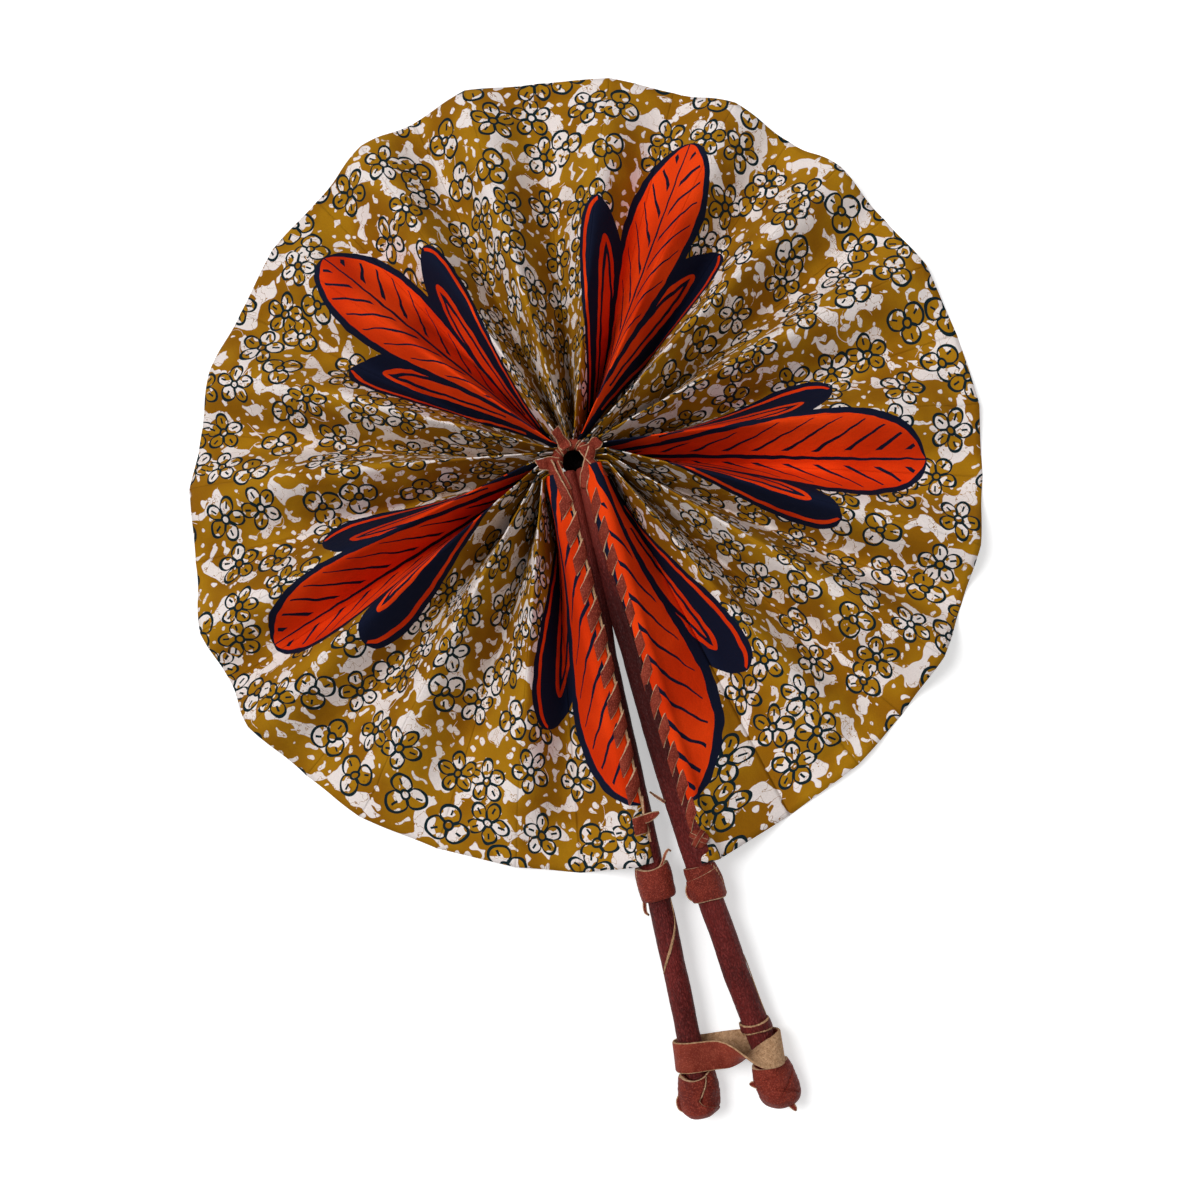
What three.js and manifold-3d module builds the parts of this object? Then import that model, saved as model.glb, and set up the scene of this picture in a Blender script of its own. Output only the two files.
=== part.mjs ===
// Cloth folding fan: a pleated disc of printed cotton between two leather-covered sticks.
// Units are millimetres. The fan lies open, face up: +Z is up and the handle runs along -Y.
import * as THREE from 'three';
import { mergeVertices } from 'three/addons/utils/BufferGeometryUtils.js';
import Module from 'manifold-3d';

const wasm = await Module();
wasm.setup();

// Driving dimensions of the leaf
const leafRadius = 165;
const panelCount = 36;
const clothThickness = 0.5;
const creaseGap = 0.3;
const rimWave = 3; // height of the pleats that is left at the rim
const hubOvalHalfWidth = 14.2; // oval on which the pleats' inner ends lie
const hubOvalHalfHeight = 11.3;
const hubOvalCentreY = -1.5;
const firstPleatClearance = 0.6; // between the lacing and the first pleat's wall

// Driving dimensions of the two sticks
const hubSpacing = 8.9; // between the stick axes at the hub
const stickSpread = 19.2; // how much further apart the bowed sticks are at the knobs
const sideBend = 2.2; // how far both sticks bend to the left at half length
const hubHeight = 22; // stick axis above the table at the hub
const knobSeatHeight = 7; // stick axis above the table at the middle of the knob
const stickTop = 4; // distance from the hub's centre to the sleeve's end
const leftLength = 261;
const rightLength = 264.5;
const coreRadius = 2.8;
const coreSetback = 1.5; // from the sleeve's end to the rod's end
const leatherThickness = 1.1;
const runningGap = 0.3;
const leftNeckRadius = 4.6;
const rightNeckRadius = 5.1;
const knobRadius = 7.5;
const knobLength = 18;
const knobWall = 1.4; // leather wall beside the neck at the knob's mouth
const collarRadius = 7.1;
const collarLength = 14;
const clothToCollar = 0.8;
const leftCollarStart = 162;
const rightCollarStart = 167;

// Driving dimensions of the laced edge
const finWidth = 2.9; // leather edge outside the tube, two layers with the cloth between them
const finLayer = 0.7;
const laceThickness = 0.8;
const laceWidth = 7; // measured along the stick
const lacePitch = 11.5;
const laceTurns = 12;
const laceStart = 9;
const finTiltAtHubDeg = { left: 42, right: 64 }; // the fin's rise above the level, as it turns along the stick
const finTiltAtRimDeg = { left: 60, right: 38 };
const finTurnLength = 90;
const laceStepsPerTurn = 10;
const laceClearance = 0.35;
const slitClearance = 0.3;

// Driving dimensions of the strap, the tie wrap and the hub leather
const strapWidth = 12;
const strapThickness = 1.2;
const strapClearance = 1.1; // the necks lean a little against the strap
const strapTwistCentre = 3; // across the handle, towards the right stick
const strapTwistLength = 14;
const tieWidth = 3.4;
const tieThickness = 0.9;
const holeRadius = 4;
const thongWidth = 4.2;
const thongHeight = 3.4;
const thongRounding = 0.8;
const tabThickness = 0.9;
const tabs = {
  left: { angleDeg: 276, startWidth: 5, endWidth: 7, reach: 1.8 }, // reach over the pleats
  top: { angleDeg: 353, startWidth: 4.5, endWidth: 6.5, reach: 3.2 },
  right: { angleDeg: 68, startWidth: 5, endWidth: 7.5, reach: 2 },
};

// Values that follow from the driving dimensions
const sleeveBore = coreRadius + runningGap;
const lacedRadius = sleeveBore + leatherThickness;
const slotHeight = clothThickness + 2 * runningGap;
const finHalf = slotHeight / 2 + finLayer;
const finEdge = lacedRadius + finWidth - 0.3;
const laceInner = lacedRadius + 0.1 + laceThickness / 2;
const laceOuter = finEdge + laceClearance + laceThickness / 2;
const laceCentre = (laceInner + laceOuter) / 2;
const laceHalfSpan = (laceOuter - laceInner) / 2;
const laceRise = finHalf + laceClearance + laceThickness / 2;
const laceReach = laceOuter + laceThickness / 2;
const clothBase = clothThickness / 2; // a valley's middle line above the table
const neckEnd = Math.min(leftLength, rightLength) - knobLength; // the strap lies against the nearer knob

const leftSide = -1;
const rightSide = 1;
const sticks = {
  [leftSide]: { name: 'left', length: leftLength, neck: leftNeckRadius, collarStart: leftCollarStart },
  [rightSide]: { name: 'right', length: rightLength, neck: rightNeckRadius, collarStart: rightCollarStart },
};

const fan = new THREE.Group();

function leather(color, roughness) {
  return new THREE.MeshStandardMaterial({ color, roughness, metalness: 0 });
}

const materials = {
  cloth: new THREE.MeshStandardMaterial({ color: 0xa8741c, roughness: 0.85, metalness: 0 }),
  sleeve: leather(0x5a2320, 0.6),
  lace: leather(0x8a4032, 0.65),
  knob: leather(0x7d3328, 0.6),
  strap: leather(0x8a3c2a, 0.65),
  wood: new THREE.MeshStandardMaterial({ color: 0xc49a64, roughness: 0.7, metalness: 0 }),
};

function addMesh(parent, name, geometry, material) {
  const mesh = new THREE.Mesh(geometry, material.clone());
  mesh.name = name;
  parent.add(mesh);
  return mesh;
}

// Closed meshes from rings of points, for strips, ribbons and cloth
function meshFromRings(rings, closed) {
  const size = rings[0].length;
  const positions = rings.flat().flatMap((p) => [p.x, p.y, p.z]);
  const index = [];
  const last = closed ? rings.length : rings.length - 1;
  for (let i = 0; i < last; i++) {
    const next = (i + 1) % rings.length;
    for (let j = 0; j < size; j++) {
      const k = (j + 1) % size;
      const [a, b, c, d] = [i * size + j, i * size + k, next * size + k, next * size + j];
      if (j < size / 2) {
        index.push(a, b, c, a, c, d);
      } else {
        index.push(a, b, d, b, c, d);
      }
    }
  }
  if (!closed) {
    const end = (rings.length - 1) * size;
    const halves = size / 2;
    for (let j = 0; j < halves - 1; j++) {
      const [a, b, c, d] = [j, j + 1, size - 2 - j, size - 1 - j];
      index.push(a, c, b, a, d, c);
      index.push(end + a, end + b, end + c, end + a, end + c, end + d);
    }
  }
  const geometry = new THREE.BufferGeometry();
  geometry.setAttribute('position', new THREE.Float32BufferAttribute(positions, 3));
  geometry.setIndex(index);
  if (signedVolume(geometry) < 0) {
    for (let i = 0; i < index.length; i += 3) {
      [index[i], index[i + 1]] = [index[i + 1], index[i]];
    }
    geometry.setIndex(index);
  }
  geometry.computeVertexNormals();
  return geometry;
}

function signedVolume(geometry) {
  const p = geometry.getAttribute('position');
  const index = geometry.getIndex();
  const corner = [new THREE.Vector3(), new THREE.Vector3(), new THREE.Vector3()];
  let volume = 0;
  for (let i = 0; i < index.count; i += 3) {
    corner.forEach((v, n) => v.fromBufferAttribute(p, index.getX(i + n)));
    volume += corner[0].dot(corner[1].clone().cross(corner[2])) / 6;
  }
  return volume;
}

// Solids for joins and cuts
function toSolid(geometry) {
  const bare = geometry.clone();
  bare.deleteAttribute('normal');
  bare.deleteAttribute('uv');
  const merged = mergeVertices(bare, 1e-4);
  return new wasm.Manifold(new wasm.Mesh({
    numProp: 3,
    vertProperties: Float32Array.from(merged.getAttribute('position').array),
    triVerts: Uint32Array.from(merged.getIndex().array),
  }));
}

function toGeometry(solid) {
  const mesh = solid.getMesh();
  const geometry = new THREE.BufferGeometry();
  geometry.setAttribute('position', new THREE.Float32BufferAttribute(mesh.vertProperties, 3));
  geometry.setIndex(new THREE.Uint32BufferAttribute(mesh.triVerts, 1));
  geometry.computeVertexNormals();
  return geometry;
}

// A turned solid on a stick: the profile holds [radius, distance from the hub]
function turned(profile, segments) {
  const points = profile.map(([radius, along]) => new THREE.Vector2(radius, -along));
  return new THREE.LatheGeometry(points.reverse(), segments);
}

// Stick frames: local -Y runs down the stick from the hub, local Z is up
function stickFrame(side) {
  const frame = new THREE.Group();
  const drop = Math.atan((hubHeight - knobSeatHeight) / (leftLength - knobLength / 2));
  frame.position.set(side * hubSpacing / 2, 0, hubHeight);
  frame.rotation.set(drop, 0, 0);
  frame.updateMatrix();
  fan.add(frame);
  sticks[side].frame = frame;
}

function bow(side, along) {
  const t = along / (leftLength - knobLength);
  return side * stickSpread / 2 * t * t - sideBend * Math.sin(Math.PI * Math.min(t, 1));
}

// Laced pieces are built on a straight stick, then swell, turn and bow with it
function shaped(side, p) {
  const { name, neck, collarStart } = sticks[side];
  const along = -p.y;
  const growth = 1 + (neck / lacedRadius - 1) * THREE.MathUtils.smoothstep(along, 0, collarStart);
  const turn = THREE.MathUtils.smoothstep(along, 0, finTurnLength);
  const tilt = THREE.MathUtils.degToRad(THREE.MathUtils.lerp(finTiltAtHubDeg[name], finTiltAtRimDeg[name], turn));
  const [out, up] = [side * p.x * growth, p.z * growth];
  return new THREE.Vector3(
    side * (out * Math.cos(tilt) - up * Math.sin(tilt)) + bow(side, along),
    p.y,
    out * Math.sin(tilt) + up * Math.cos(tilt),
  );
}

function bowed(side, p) {
  return new THREE.Vector3(p.x + bow(side, -p.y), p.y, p.z);
}

function moveVertices(geometry, move) {
  const position = geometry.getAttribute('position');
  const p = new THREE.Vector3();
  for (let i = 0; i < position.count; i++) {
    p.copy(move(p.fromBufferAttribute(position, i)));
    position.setXYZ(i, p.x, p.y, p.z);
  }
  geometry.computeVertexNormals();
  return geometry;
}

function stickPoint(side, outward, along, height) {
  const p = new THREE.Vector3(side * outward, -along, height);
  return shaped(side, p).applyMatrix4(sticks[side].frame.matrix);
}

function neckPoint(side, along) {
  return bowed(side, new THREE.Vector3(0, -along, 0)).applyMatrix4(sticks[side].frame.matrix);
}

// Lacing: a flat thong wound round the fin, through a slit at each turn, or the room that it needs
function laceGeometry(side, room) {
  const rings = [];
  const [thickness, width] = [laceThickness + 2 * room, laceWidth + 2 * room];
  const steps = Math.round(laceTurns * laceStepsPerTurn);
  const before = room > 0 ? 1 : 0;
  for (let i = -before; i <= steps + before; i++) {
    const turn = i / laceStepsPerTurn;
    const angle = Math.PI + side * turn * 2 * Math.PI;
    const normal = new THREE.Vector2(laceRise * Math.cos(angle), laceHalfSpan * Math.sin(angle));
    normal.normalize().multiplyScalar(thickness / 2);
    const centre = new THREE.Vector2(laceCentre + laceHalfSpan * Math.cos(angle), laceRise * Math.sin(angle));
    const along = laceStart + laceWidth / 2 + turn * lacePitch;
    const corner = (out, shift) => new THREE.Vector3(
      side * (centre.x + out * normal.x), -(along + shift * width / 2), centre.y + out * normal.y);
    rings.push([corner(1, -1), corner(1, 1), corner(-1, 1), corner(-1, -1)]);
  }
  return moveVertices(meshFromRings(rings, false), (p) => shaped(side, p));
}

// Sleeve: leather tube with a two-layer fin along the cloth, slit for the lacing
function sleeveGeometry(side) {
  const { length, collarStart } = sticks[side];
  const tubeEnd = length - knobWall - 3;
  const stations = Array.from({ length: 11 }, (_, i) => stickTop + (tubeEnd - stickTop) * i / 10);
  const outside = stations.map((along) => [lacedRadius, along]);
  const inside = stations.map((along) => [sleeveBore, along]).reverse();
  const shape = (geometry) => toSolid(moveVertices(geometry, (p) => shaped(side, p)));
  const tube = shape(turned([...outside, ...inside, outside[0]], 14));
  const slotStart = laceInner + laceThickness / 2 + laceClearance;
  const fin = new THREE.Shape();
  fin.moveTo(sleeveBore + 0.35, -finHalf);
  fin.lineTo(finEdge - finHalf / 2, -finHalf);
  fin.lineTo(finEdge, -finHalf / 2 - slotHeight / 4);
  fin.lineTo(finEdge, -slotHeight / 2);
  fin.lineTo(slotStart, -slotHeight / 2);
  fin.lineTo(slotStart, slotHeight / 2);
  fin.lineTo(finEdge, slotHeight / 2);
  fin.lineTo(finEdge, finHalf / 2 + slotHeight / 4);
  fin.lineTo(finEdge - finHalf / 2, finHalf);
  fin.lineTo(sleeveBore + 0.35, finHalf);
  const finStart = stickTop + 2;
  const finLength = collarStart - 1 - finStart;
  const bar = new THREE.ExtrudeGeometry(fin, { depth: finLength, bevelEnabled: false, steps: 7 });
  bar.rotateX(Math.PI / 2);
  if (side === leftSide) {
    bar.rotateY(Math.PI);
  }
  bar.translate(0, -finStart, 0);
  return toGeometry(tube.add(shape(bar)).subtract(toSolid(laceGeometry(side, slitClearance))));
}

// End knob: a leather cap over the sleeve, bulging and rounded at the end
function knobGeometry(side) {
  const { length, neck, frame } = sticks[side];
  const mouth = length - knobLength;
  const bore = neck + runningGap;
  const outline = new THREE.Path();
  outline.moveTo(bore, mouth);
  outline.lineTo(bore + knobWall, mouth);
  outline.quadraticCurveTo(knobRadius, mouth + 1.5, knobRadius, mouth + knobLength * 0.45);
  outline.bezierCurveTo(knobRadius, length - 4, knobRadius - 1.5, length, 0, length);
  const inner = [[0, length - knobWall - 2], [bore, length - knobWall - 2], [bore, mouth]];
  const profile = [...outline.getPoints(5).map((p) => [p.x, p.y]), ...inner];
  const cap = moveVertices(turned(profile, 24), (p) => bowed(side, p));
  cap.applyMatrix4(frame.matrix);
  const below = new THREE.BoxGeometry(60, 60, 20);
  below.translate(side * 14, -length, -10);
  return toGeometry(toSolid(cap).subtract(toSolid(below)));
}

// Rim collar: a wound leather band with a narrower first turn
function collarGeometry(side) {
  const { neck, collarStart } = sticks[side];
  const bore = neck + runningGap;
  const end = collarStart + collarLength;
  const band = turned([
    [bore, collarStart],
    [collarRadius - 0.9, collarStart],
    [collarRadius - 0.6, collarStart + 2.2],
    [collarRadius, collarStart + 2.6],
    [collarRadius + 0.1, collarStart + collarLength / 2],
    [collarRadius - 0.2, end - 1],
    [collarRadius - 0.7, end],
    [bore, end],
    [bore, collarStart],
  ], 24);
  return moveVertices(band, (p) => bowed(side, p));
}

// The wooden rod inside a sleeve
function coreGeometry(side) {
  const start = stickTop + coreSetback;
  const end = sticks[side].length - knobWall - 3 - runningGap;
  const stations = Array.from({ length: 9 }, (_, i) => start + 1 + (end - start - 2) * i / 8);
  const rod = turned([
    [0, start],
    [coreRadius - 0.5, start],
    ...stations.map((along) => [coreRadius, along]),
    [coreRadius - 0.5, end],
    [0, end],
  ], 12);
  return moveVertices(rod, (p) => shaped(side, p));
}

// Lace tails: the thong's cut end on the left, a small knot on the right
function leftTailGeometry() {
  const leaf = new THREE.Shape();
  leaf.moveTo(0, -1.4);
  leaf.quadraticCurveTo(4, -2.6, 7.2, -0.6);
  leaf.quadraticCurveTo(7.8, 0.2, 6.8, 0.8);
  leaf.quadraticCurveTo(3.4, 2.4, 0, 1.4);
  const tail = new THREE.ExtrudeGeometry(leaf, { depth: laceThickness, bevelEnabled: false, curveSegments: 5 });
  const along = laceStart + laceTurns * lacePitch - lacePitch / 4;
  tail.translate(0.8, -along, leftNeckRadius + runningGap);
  return moveVertices(tail, (p) => bowed(leftSide, p));
}

function rightKnotGeometry() {
  const knot = new THREE.TorusGeometry(2, 0.95, 8, 14);
  knot.scale(1, 1.25, 1);
  knot.rotateY(THREE.MathUtils.degToRad(35));
  const along = laceStart + laceTurns * lacePitch + laceWidth + 4;
  knot.translate(4.6, -along, finHalf + runningGap + 2.1);
  return moveVertices(knot, (p) => shaped(rightSide, p));
}

// Strap loop: a flat leather band round both necks, with a half twist on its front run
function strapGeometry() {
  const along = neckEnd - runningGap - strapWidth / 2;
  const neck = Math.max(leftNeckRadius, rightNeckRadius);
  const left = neckPoint(leftSide, along);
  const right = neckPoint(rightSide, along);
  const bend = neck + strapClearance + strapThickness / 2;
  const middle = left.clone().add(right).multiplyScalar(0.5);
  const across = right.clone().sub(left).normalize();
  const down = new THREE.Vector3(0, -1, 0).applyEuler(new THREE.Euler(sticks[leftSide].frame.rotation.x, 0, 0));
  const up = across.clone().cross(down).negate();
  const halfSpan = right.distanceTo(left) / 2;
  const outline = new THREE.Path();
  outline.moveTo(-halfSpan, bend);
  outline.lineTo(halfSpan, bend);
  outline.absarc(halfSpan, 0, bend, Math.PI / 2, -Math.PI / 2, true);
  outline.lineTo(-halfSpan, -bend);
  outline.absarc(-halfSpan, 0, bend, -Math.PI / 2, -3 * Math.PI / 2, true);
  const stations = [];
  const frontSteps = 18;
  for (let i = 0; i < frontSteps; i++) {
    const x = -halfSpan + 2 * halfSpan * i / frontSteps;
    const t = THREE.MathUtils.clamp((x - strapTwistCentre) / strapTwistLength + 0.5, 0, 1);
    stations.push({ x, y: bend, nx: 0, ny: 1, twist: Math.PI * t * t * (3 - 2 * t) });
  }
  const bendSteps = 10;
  for (const end of [1, -1]) {
    for (let i = 0; i <= bendSteps; i++) {
      const angle = Math.PI / 2 - Math.PI * i / bendSteps;
      const [nx, ny] = [end * Math.cos(angle), end * Math.sin(angle)];
      stations.push({ x: end * halfSpan + bend * nx, y: bend * ny, nx, ny, twist: Math.PI });
    }
  }
  stations.pop();
  const rings = stations.map(({ x, y, nx, ny, twist }) => {
    const centre = middle.clone().addScaledVector(across, x).addScaledVector(up, y);
    const out = across.clone().multiplyScalar(nx).addScaledVector(up, ny);
    const face = out.clone().multiplyScalar(Math.cos(twist)).addScaledVector(down, Math.sin(twist));
    const edge = down.clone().multiplyScalar(Math.cos(twist)).addScaledVector(out, -Math.sin(twist));
    const corner = (a, b) => centre.clone()
      .addScaledVector(face, a * strapThickness / 2).addScaledVector(edge, b * strapWidth / 2);
    return [corner(1, -1), corner(1, 1), corner(-1, 1), corner(-1, -1)];
  });
  return closeWithHalfTurn(rings);
}

// The strap's ends are joined with one of them turned over
function closeWithHalfTurn(rings) {
  const first = rings[0];
  rings.push([first[2], first[3], first[0], first[1]].map((p) => p.clone()));
  const size = 4;
  const positions = rings.slice(0, -1).flat().flatMap((p) => [p.x, p.y, p.z]);
  const index = [];
  const count = rings.length - 1;
  for (let i = 0; i < count; i++) {
    const turn = i === count - 1 ? 2 : 0;
    const next = (i + 1) % count;
    for (let j = 0; j < size; j++) {
      const k = (j + 1) % size;
      const [a, b] = [i * size + j, i * size + k];
      const [c, d] = [next * size + (k + turn) % size, next * size + (j + turn) % size];
      index.push(a, b, c, a, c, d);
    }
  }
  const geometry = new THREE.BufferGeometry();
  geometry.setAttribute('position', new THREE.Float32BufferAttribute(positions, 3));
  geometry.setIndex(index);
  if (signedVolume(geometry) < 0) {
    for (let i = 0; i < index.length; i += 3) {
      [index[i], index[i + 1]] = [index[i + 1], index[i]];
    }
    geometry.setIndex(index);
  }
  geometry.computeVertexNormals();
  return geometry;
}

// Tie wrap: one narrow turn of leather on the right neck, above the strap
function tieGeometry() {
  const bore = rightNeckRadius + runningGap;
  const end = neckEnd - strapWidth - 2 * runningGap - 1;
  const start = end - tieWidth;
  const ring = turned([
    [bore, start],
    [bore + tieThickness - 0.2, start],
    [bore + tieThickness, start + tieWidth / 2],
    [bore + tieThickness - 0.2, end],
    [bore, end],
    [bore, start],
  ], 20);
  return moveVertices(ring, (p) => bowed(rightSide, p));
}

// Hub thong: an arch of leather round the hole, ending against the two sleeves
function thongGeometry() {
  const outer = holeRadius + thongWidth - thongRounding;
  const inner = holeRadius + thongRounding;
  const footY = -(stickTop - runningGap - thongRounding);
  const arch = new THREE.Shape();
  const outerFoot = Math.asin(footY / outer);
  const innerFoot = Math.asin(Math.max(footY / inner, -0.98));
  arch.absarc(0, 0, outer, outerFoot, Math.PI - outerFoot, false);
  arch.absarc(0, 0, inner, Math.PI - innerFoot, innerFoot, true);
  const body = new THREE.ExtrudeGeometry(arch, {
    depth: thongHeight - 2 * thongRounding,
    curveSegments: 18,
    bevelEnabled: true,
    bevelThickness: thongRounding,
    bevelSize: thongRounding,
    bevelSegments: 2,
  });
  body.translate(0, 0, hubHeight - thongHeight / 2 + thongRounding);
  return body;
}

// Leaf: crease lines in plan, from the hub oval to the rim
const lastCrease = panelCount;
const edgeOutward = (laceInner + laceThickness / 2 + finEdge) / 2;
const flatOutward = laceReach + firstPleatClearance - 0.05;
const drapeOutward = laceOuter;
const drapeDrop = laceRise + laceThickness / 2 + firstPleatClearance;
const edgeSide = { 0: leftSide, [lastCrease]: rightSide };
const edgeAlong = (side, u) => THREE.MathUtils.lerp(laceStart, sticks[side].collarStart - clothToCollar, u);
const edgePoint = (side, u) => stickPoint(side, edgeOutward, edgeAlong(side, u), 0);

for (const side of [leftSide, rightSide]) {
  stickFrame(side);
}

const rimEdgeAngle = Math.atan2(-edgePoint(leftSide, 1).x, -edgePoint(leftSide, 1).y);
const rimStep = (2 * Math.PI - 2 * rimEdgeAngle) / panelCount;
const firstPleatX = -stickPoint(leftSide, drapeOutward, laceStart, -drapeDrop).x + firstPleatClearance;
const ovalStart = Math.acos(Math.min(firstPleatX / hubOvalHalfWidth, 0.999));

function creaseEnds(k) {
  if (k in edgeSide) {
    return [edgePoint(edgeSide[k], 0), edgePoint(edgeSide[k], 1)];
  }
  const share = (k - 1) / (panelCount - 2);
  const turn = Math.PI + ovalStart - share * (Math.PI + 2 * ovalStart);
  const rim = Math.PI + rimEdgeAngle + k * rimStep;
  return [
    new THREE.Vector3(hubOvalHalfWidth * Math.cos(turn), hubOvalCentreY + hubOvalHalfHeight * Math.sin(turn), 0),
    new THREE.Vector3(leafRadius * Math.sin(rim), leafRadius * Math.cos(rim), 0),
  ];
}

const creases = Array.from({ length: panelCount + 1 }, (_, k) => creaseEnds(k));
const planPoint = (k, u) => (
  k in edgeSide ? edgePoint(edgeSide[k], u) : creases[k][0].clone().lerp(creases[k][1], u)
);
const rimChord = 2 * leafRadius * Math.sin(rimStep / 2);
const panelWidth = Math.hypot(rimChord, rimWave);

// Height of a crease: valleys lie on the table, and ridges use the width that the plan leaves over
function creaseHeight(k, u) {
  if (k in edgeSide) {
    return planPoint(k, u).z;
  }
  if (k % 2 === 1) {
    return clothBase;
  }
  const chord = planPoint(k + 1, u).sub(planPoint(k - 1, u)).setZ(0).length() / 2;
  return clothBase + Math.sqrt(Math.max(panelWidth ** 2 - chord ** 2, rimWave ** 2));
}

// One panel: a twisted strip of cloth between two creases, wavy towards the rim
const radialStations = [0, 0.06, 0.14, 0.25, 0.38, 0.52, 0.66, 0.79, 0.9, 1];
const acrossStations = [0, 0.25, 0.5, 0.75, 1];

function panelPoint(k, u, v) {
  const from = planPoint(k - 1, u);
  const to = planPoint(k, u);
  from.z = creaseHeight(k - 1, u);
  to.z = creaseHeight(k, u);
  const plan = to.clone().sub(from).setZ(0);
  const chord = plan.length();
  plan.normalize();
  const steep = Math.abs(to.z - from.z) / Math.hypot(to.z - from.z, chord);
  const trim = creaseGap / 2 + clothThickness / 2 * steep;
  if (k === 1 || k === panelCount) {
    return edgePanelPoint(k, u, v, plan, trim);
  }
  const wave = u * (1 - Math.cos(Math.PI * v)) / 2 + (1 - u) * v;
  return new THREE.Vector3(from.x, from.y, 0)
    .addScaledVector(plan, trim + (chord - 2 * trim) * v)
    .setZ(from.z + (to.z - from.z) * wave);
}

// The end panels leave the stick's fin level, round the lacing and then drop to the first valley
function edgePanelPoint(k, u, v, plan, trim) {
  const [side, valley, away, share] = k === 1 ? [leftSide, 1, -1, v] : [rightSide, lastCrease - 1, 1, 1 - v];
  const along = edgeAlong(side, u);
  const foot = planPoint(valley, u).setZ(clothBase).addScaledVector(plan, away * trim);
  const drape = stickPoint(side, drapeOutward, along, -drapeDrop);
  if (share < 0.5) {
    return stickPoint(side, THREE.MathUtils.lerp(edgeOutward, flatOutward, share * 4), along, 0);
  }
  return drape.lerp(foot, share * 2 - 1);
}

// The end panels are slit where the lacing goes through them
function endPanelGeometry(k, side) {
  const slits = laceGeometry(side, slitClearance).applyMatrix4(sticks[side].frame.matrix);
  return toGeometry(toSolid(panelGeometry(k)).subtract(toSolid(slits)));
}

function panelGeometry(k) {
  const grid = radialStations.map((u) => acrossStations.map((v) => panelPoint(k, u, v)));
  const rows = grid.length;
  const cols = grid[0].length;
  const rings = grid.map((row, i) => {
    const upper = [];
    const lower = [];
    row.forEach((p, j) => {
      const radial = grid[Math.min(i + 1, rows - 1)][j].clone().sub(grid[Math.max(i - 1, 0)][j]);
      const across = row[Math.min(j + 1, cols - 1)].clone().sub(row[Math.max(j - 1, 0)]);
      const normal = radial.cross(across).normalize();
      upper.push(p.clone().addScaledVector(normal, clothThickness / 2));
      lower.unshift(p.clone().addScaledVector(normal, -clothThickness / 2));
    });
    return [...upper, ...lower];
  });
  return meshFromRings(rings, false);
}

// How far the pleats' inner ends are from the hub, along a line beside a given direction
function ovalDistance(out, side, offset) {
  const [ax, ay] = [out.x / hubOvalHalfWidth, out.y / hubOvalHalfHeight];
  const [bx, by] = [
    offset * side.x / hubOvalHalfWidth,
    (offset * side.y - hubOvalCentreY) / hubOvalHalfHeight,
  ];
  const [a, b, c] = [ax * ax + ay * ay, ax * bx + ay * by, bx * bx + by * by - 1];
  return (-b + Math.sqrt(b * b - a * c)) / a;
}

// Hub tabs: tongues of the thong that lie over the ends of the nearest pleats
function tabGeometry({ angleDeg, startWidth, endWidth, reach }) {
  const angle = THREE.MathUtils.degToRad(angleDeg);
  const out = new THREE.Vector3(Math.sin(angle), Math.cos(angle), 0);
  const side = new THREE.Vector3(out.y, -out.x, 0);
  const onThong = hubHeight + thongHeight / 2 + runningGap + tabThickness / 2;
  const onPleats = clothBase + panelWidth + clothThickness / 2 + runningGap + tabThickness / 2;
  const thongEdge = holeRadius + thongWidth;
  const pleats = Math.min(...[-0.5, 0, 0.5].map((t) => ovalDistance(out, side, t * endWidth)));
  const path = [
    [holeRadius + 0.8, onThong, 0],
    [thongEdge - 2, onThong, 0.2],
    [(thongEdge - 2 + pleats) / 2 - 0.4, (onThong + onPleats) / 2, 0.5],
    [pleats - 0.8, onPleats, 0.8],
    [pleats + reach, onPleats, 1],
  ];
  const rings = path.map(([r, z, t]) => {
    const half = THREE.MathUtils.lerp(startWidth, endWidth, t) / 2;
    const centre = out.clone().multiplyScalar(r).setZ(z);
    const corner = (a, b) => centre.clone().addScaledVector(side, a * half)
      .add(new THREE.Vector3(0, 0, b * tabThickness / 2));
    return [corner(-1, 1), corner(1, 1), corner(1, -1), corner(-1, -1)];
  });
  return meshFromRings(rings, false);
}

// Assembly
for (const side of [leftSide, rightSide]) {
  const { name, frame } = sticks[side];
  addMesh(frame, `${name}_stick_core`, coreGeometry(side), materials.wood);
  addMesh(frame, `${name}_stick_sleeve`, sleeveGeometry(side), materials.sleeve);
  addMesh(frame, `${name}_edge_lacing`, laceGeometry(side, 0), materials.lace);
  addMesh(frame, `${name}_rim_collar`, collarGeometry(side), materials.knob);
  addMesh(fan, `${name}_end_knob`, knobGeometry(side), materials.knob);
}
addMesh(sticks[leftSide].frame, 'left_lace_tail', leftTailGeometry(), materials.lace);
addMesh(sticks[rightSide].frame, 'right_lace_knot', rightKnotGeometry(), materials.lace);
addMesh(sticks[rightSide].frame, 'right_tie_wrap', tieGeometry(), materials.knob);
addMesh(fan, 'strap_loop', strapGeometry(), materials.strap);
addMesh(fan, 'hub_thong', thongGeometry(), materials.lace);
for (const [place, tab] of Object.entries(tabs)) {
  addMesh(fan, `hub_tab_${place}`, tabGeometry(tab), materials.lace);
}
for (let k = 1; k <= panelCount; k++) {
  const end = { 1: leftSide, [panelCount]: rightSide }[k];
  const geometry = end ? endPanelGeometry(k, end) : panelGeometry(k);
  addMesh(fan, `leaf_panel_${String(k).padStart(2, '0')}`, geometry, materials.cloth);
}

// The origin is the bottom centre of the fan's box
fan.updateMatrixWorld(true);
const box = new THREE.Box3().setFromObject(fan, true);
const centre = box.getCenter(new THREE.Vector3());
fan.position.set(-centre.x, -centre.y, -box.min.z);
fan.updateMatrixWorld(true);

export default fan;
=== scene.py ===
import math
from functools import partialmethod
from math import cos, pi, sin

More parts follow.
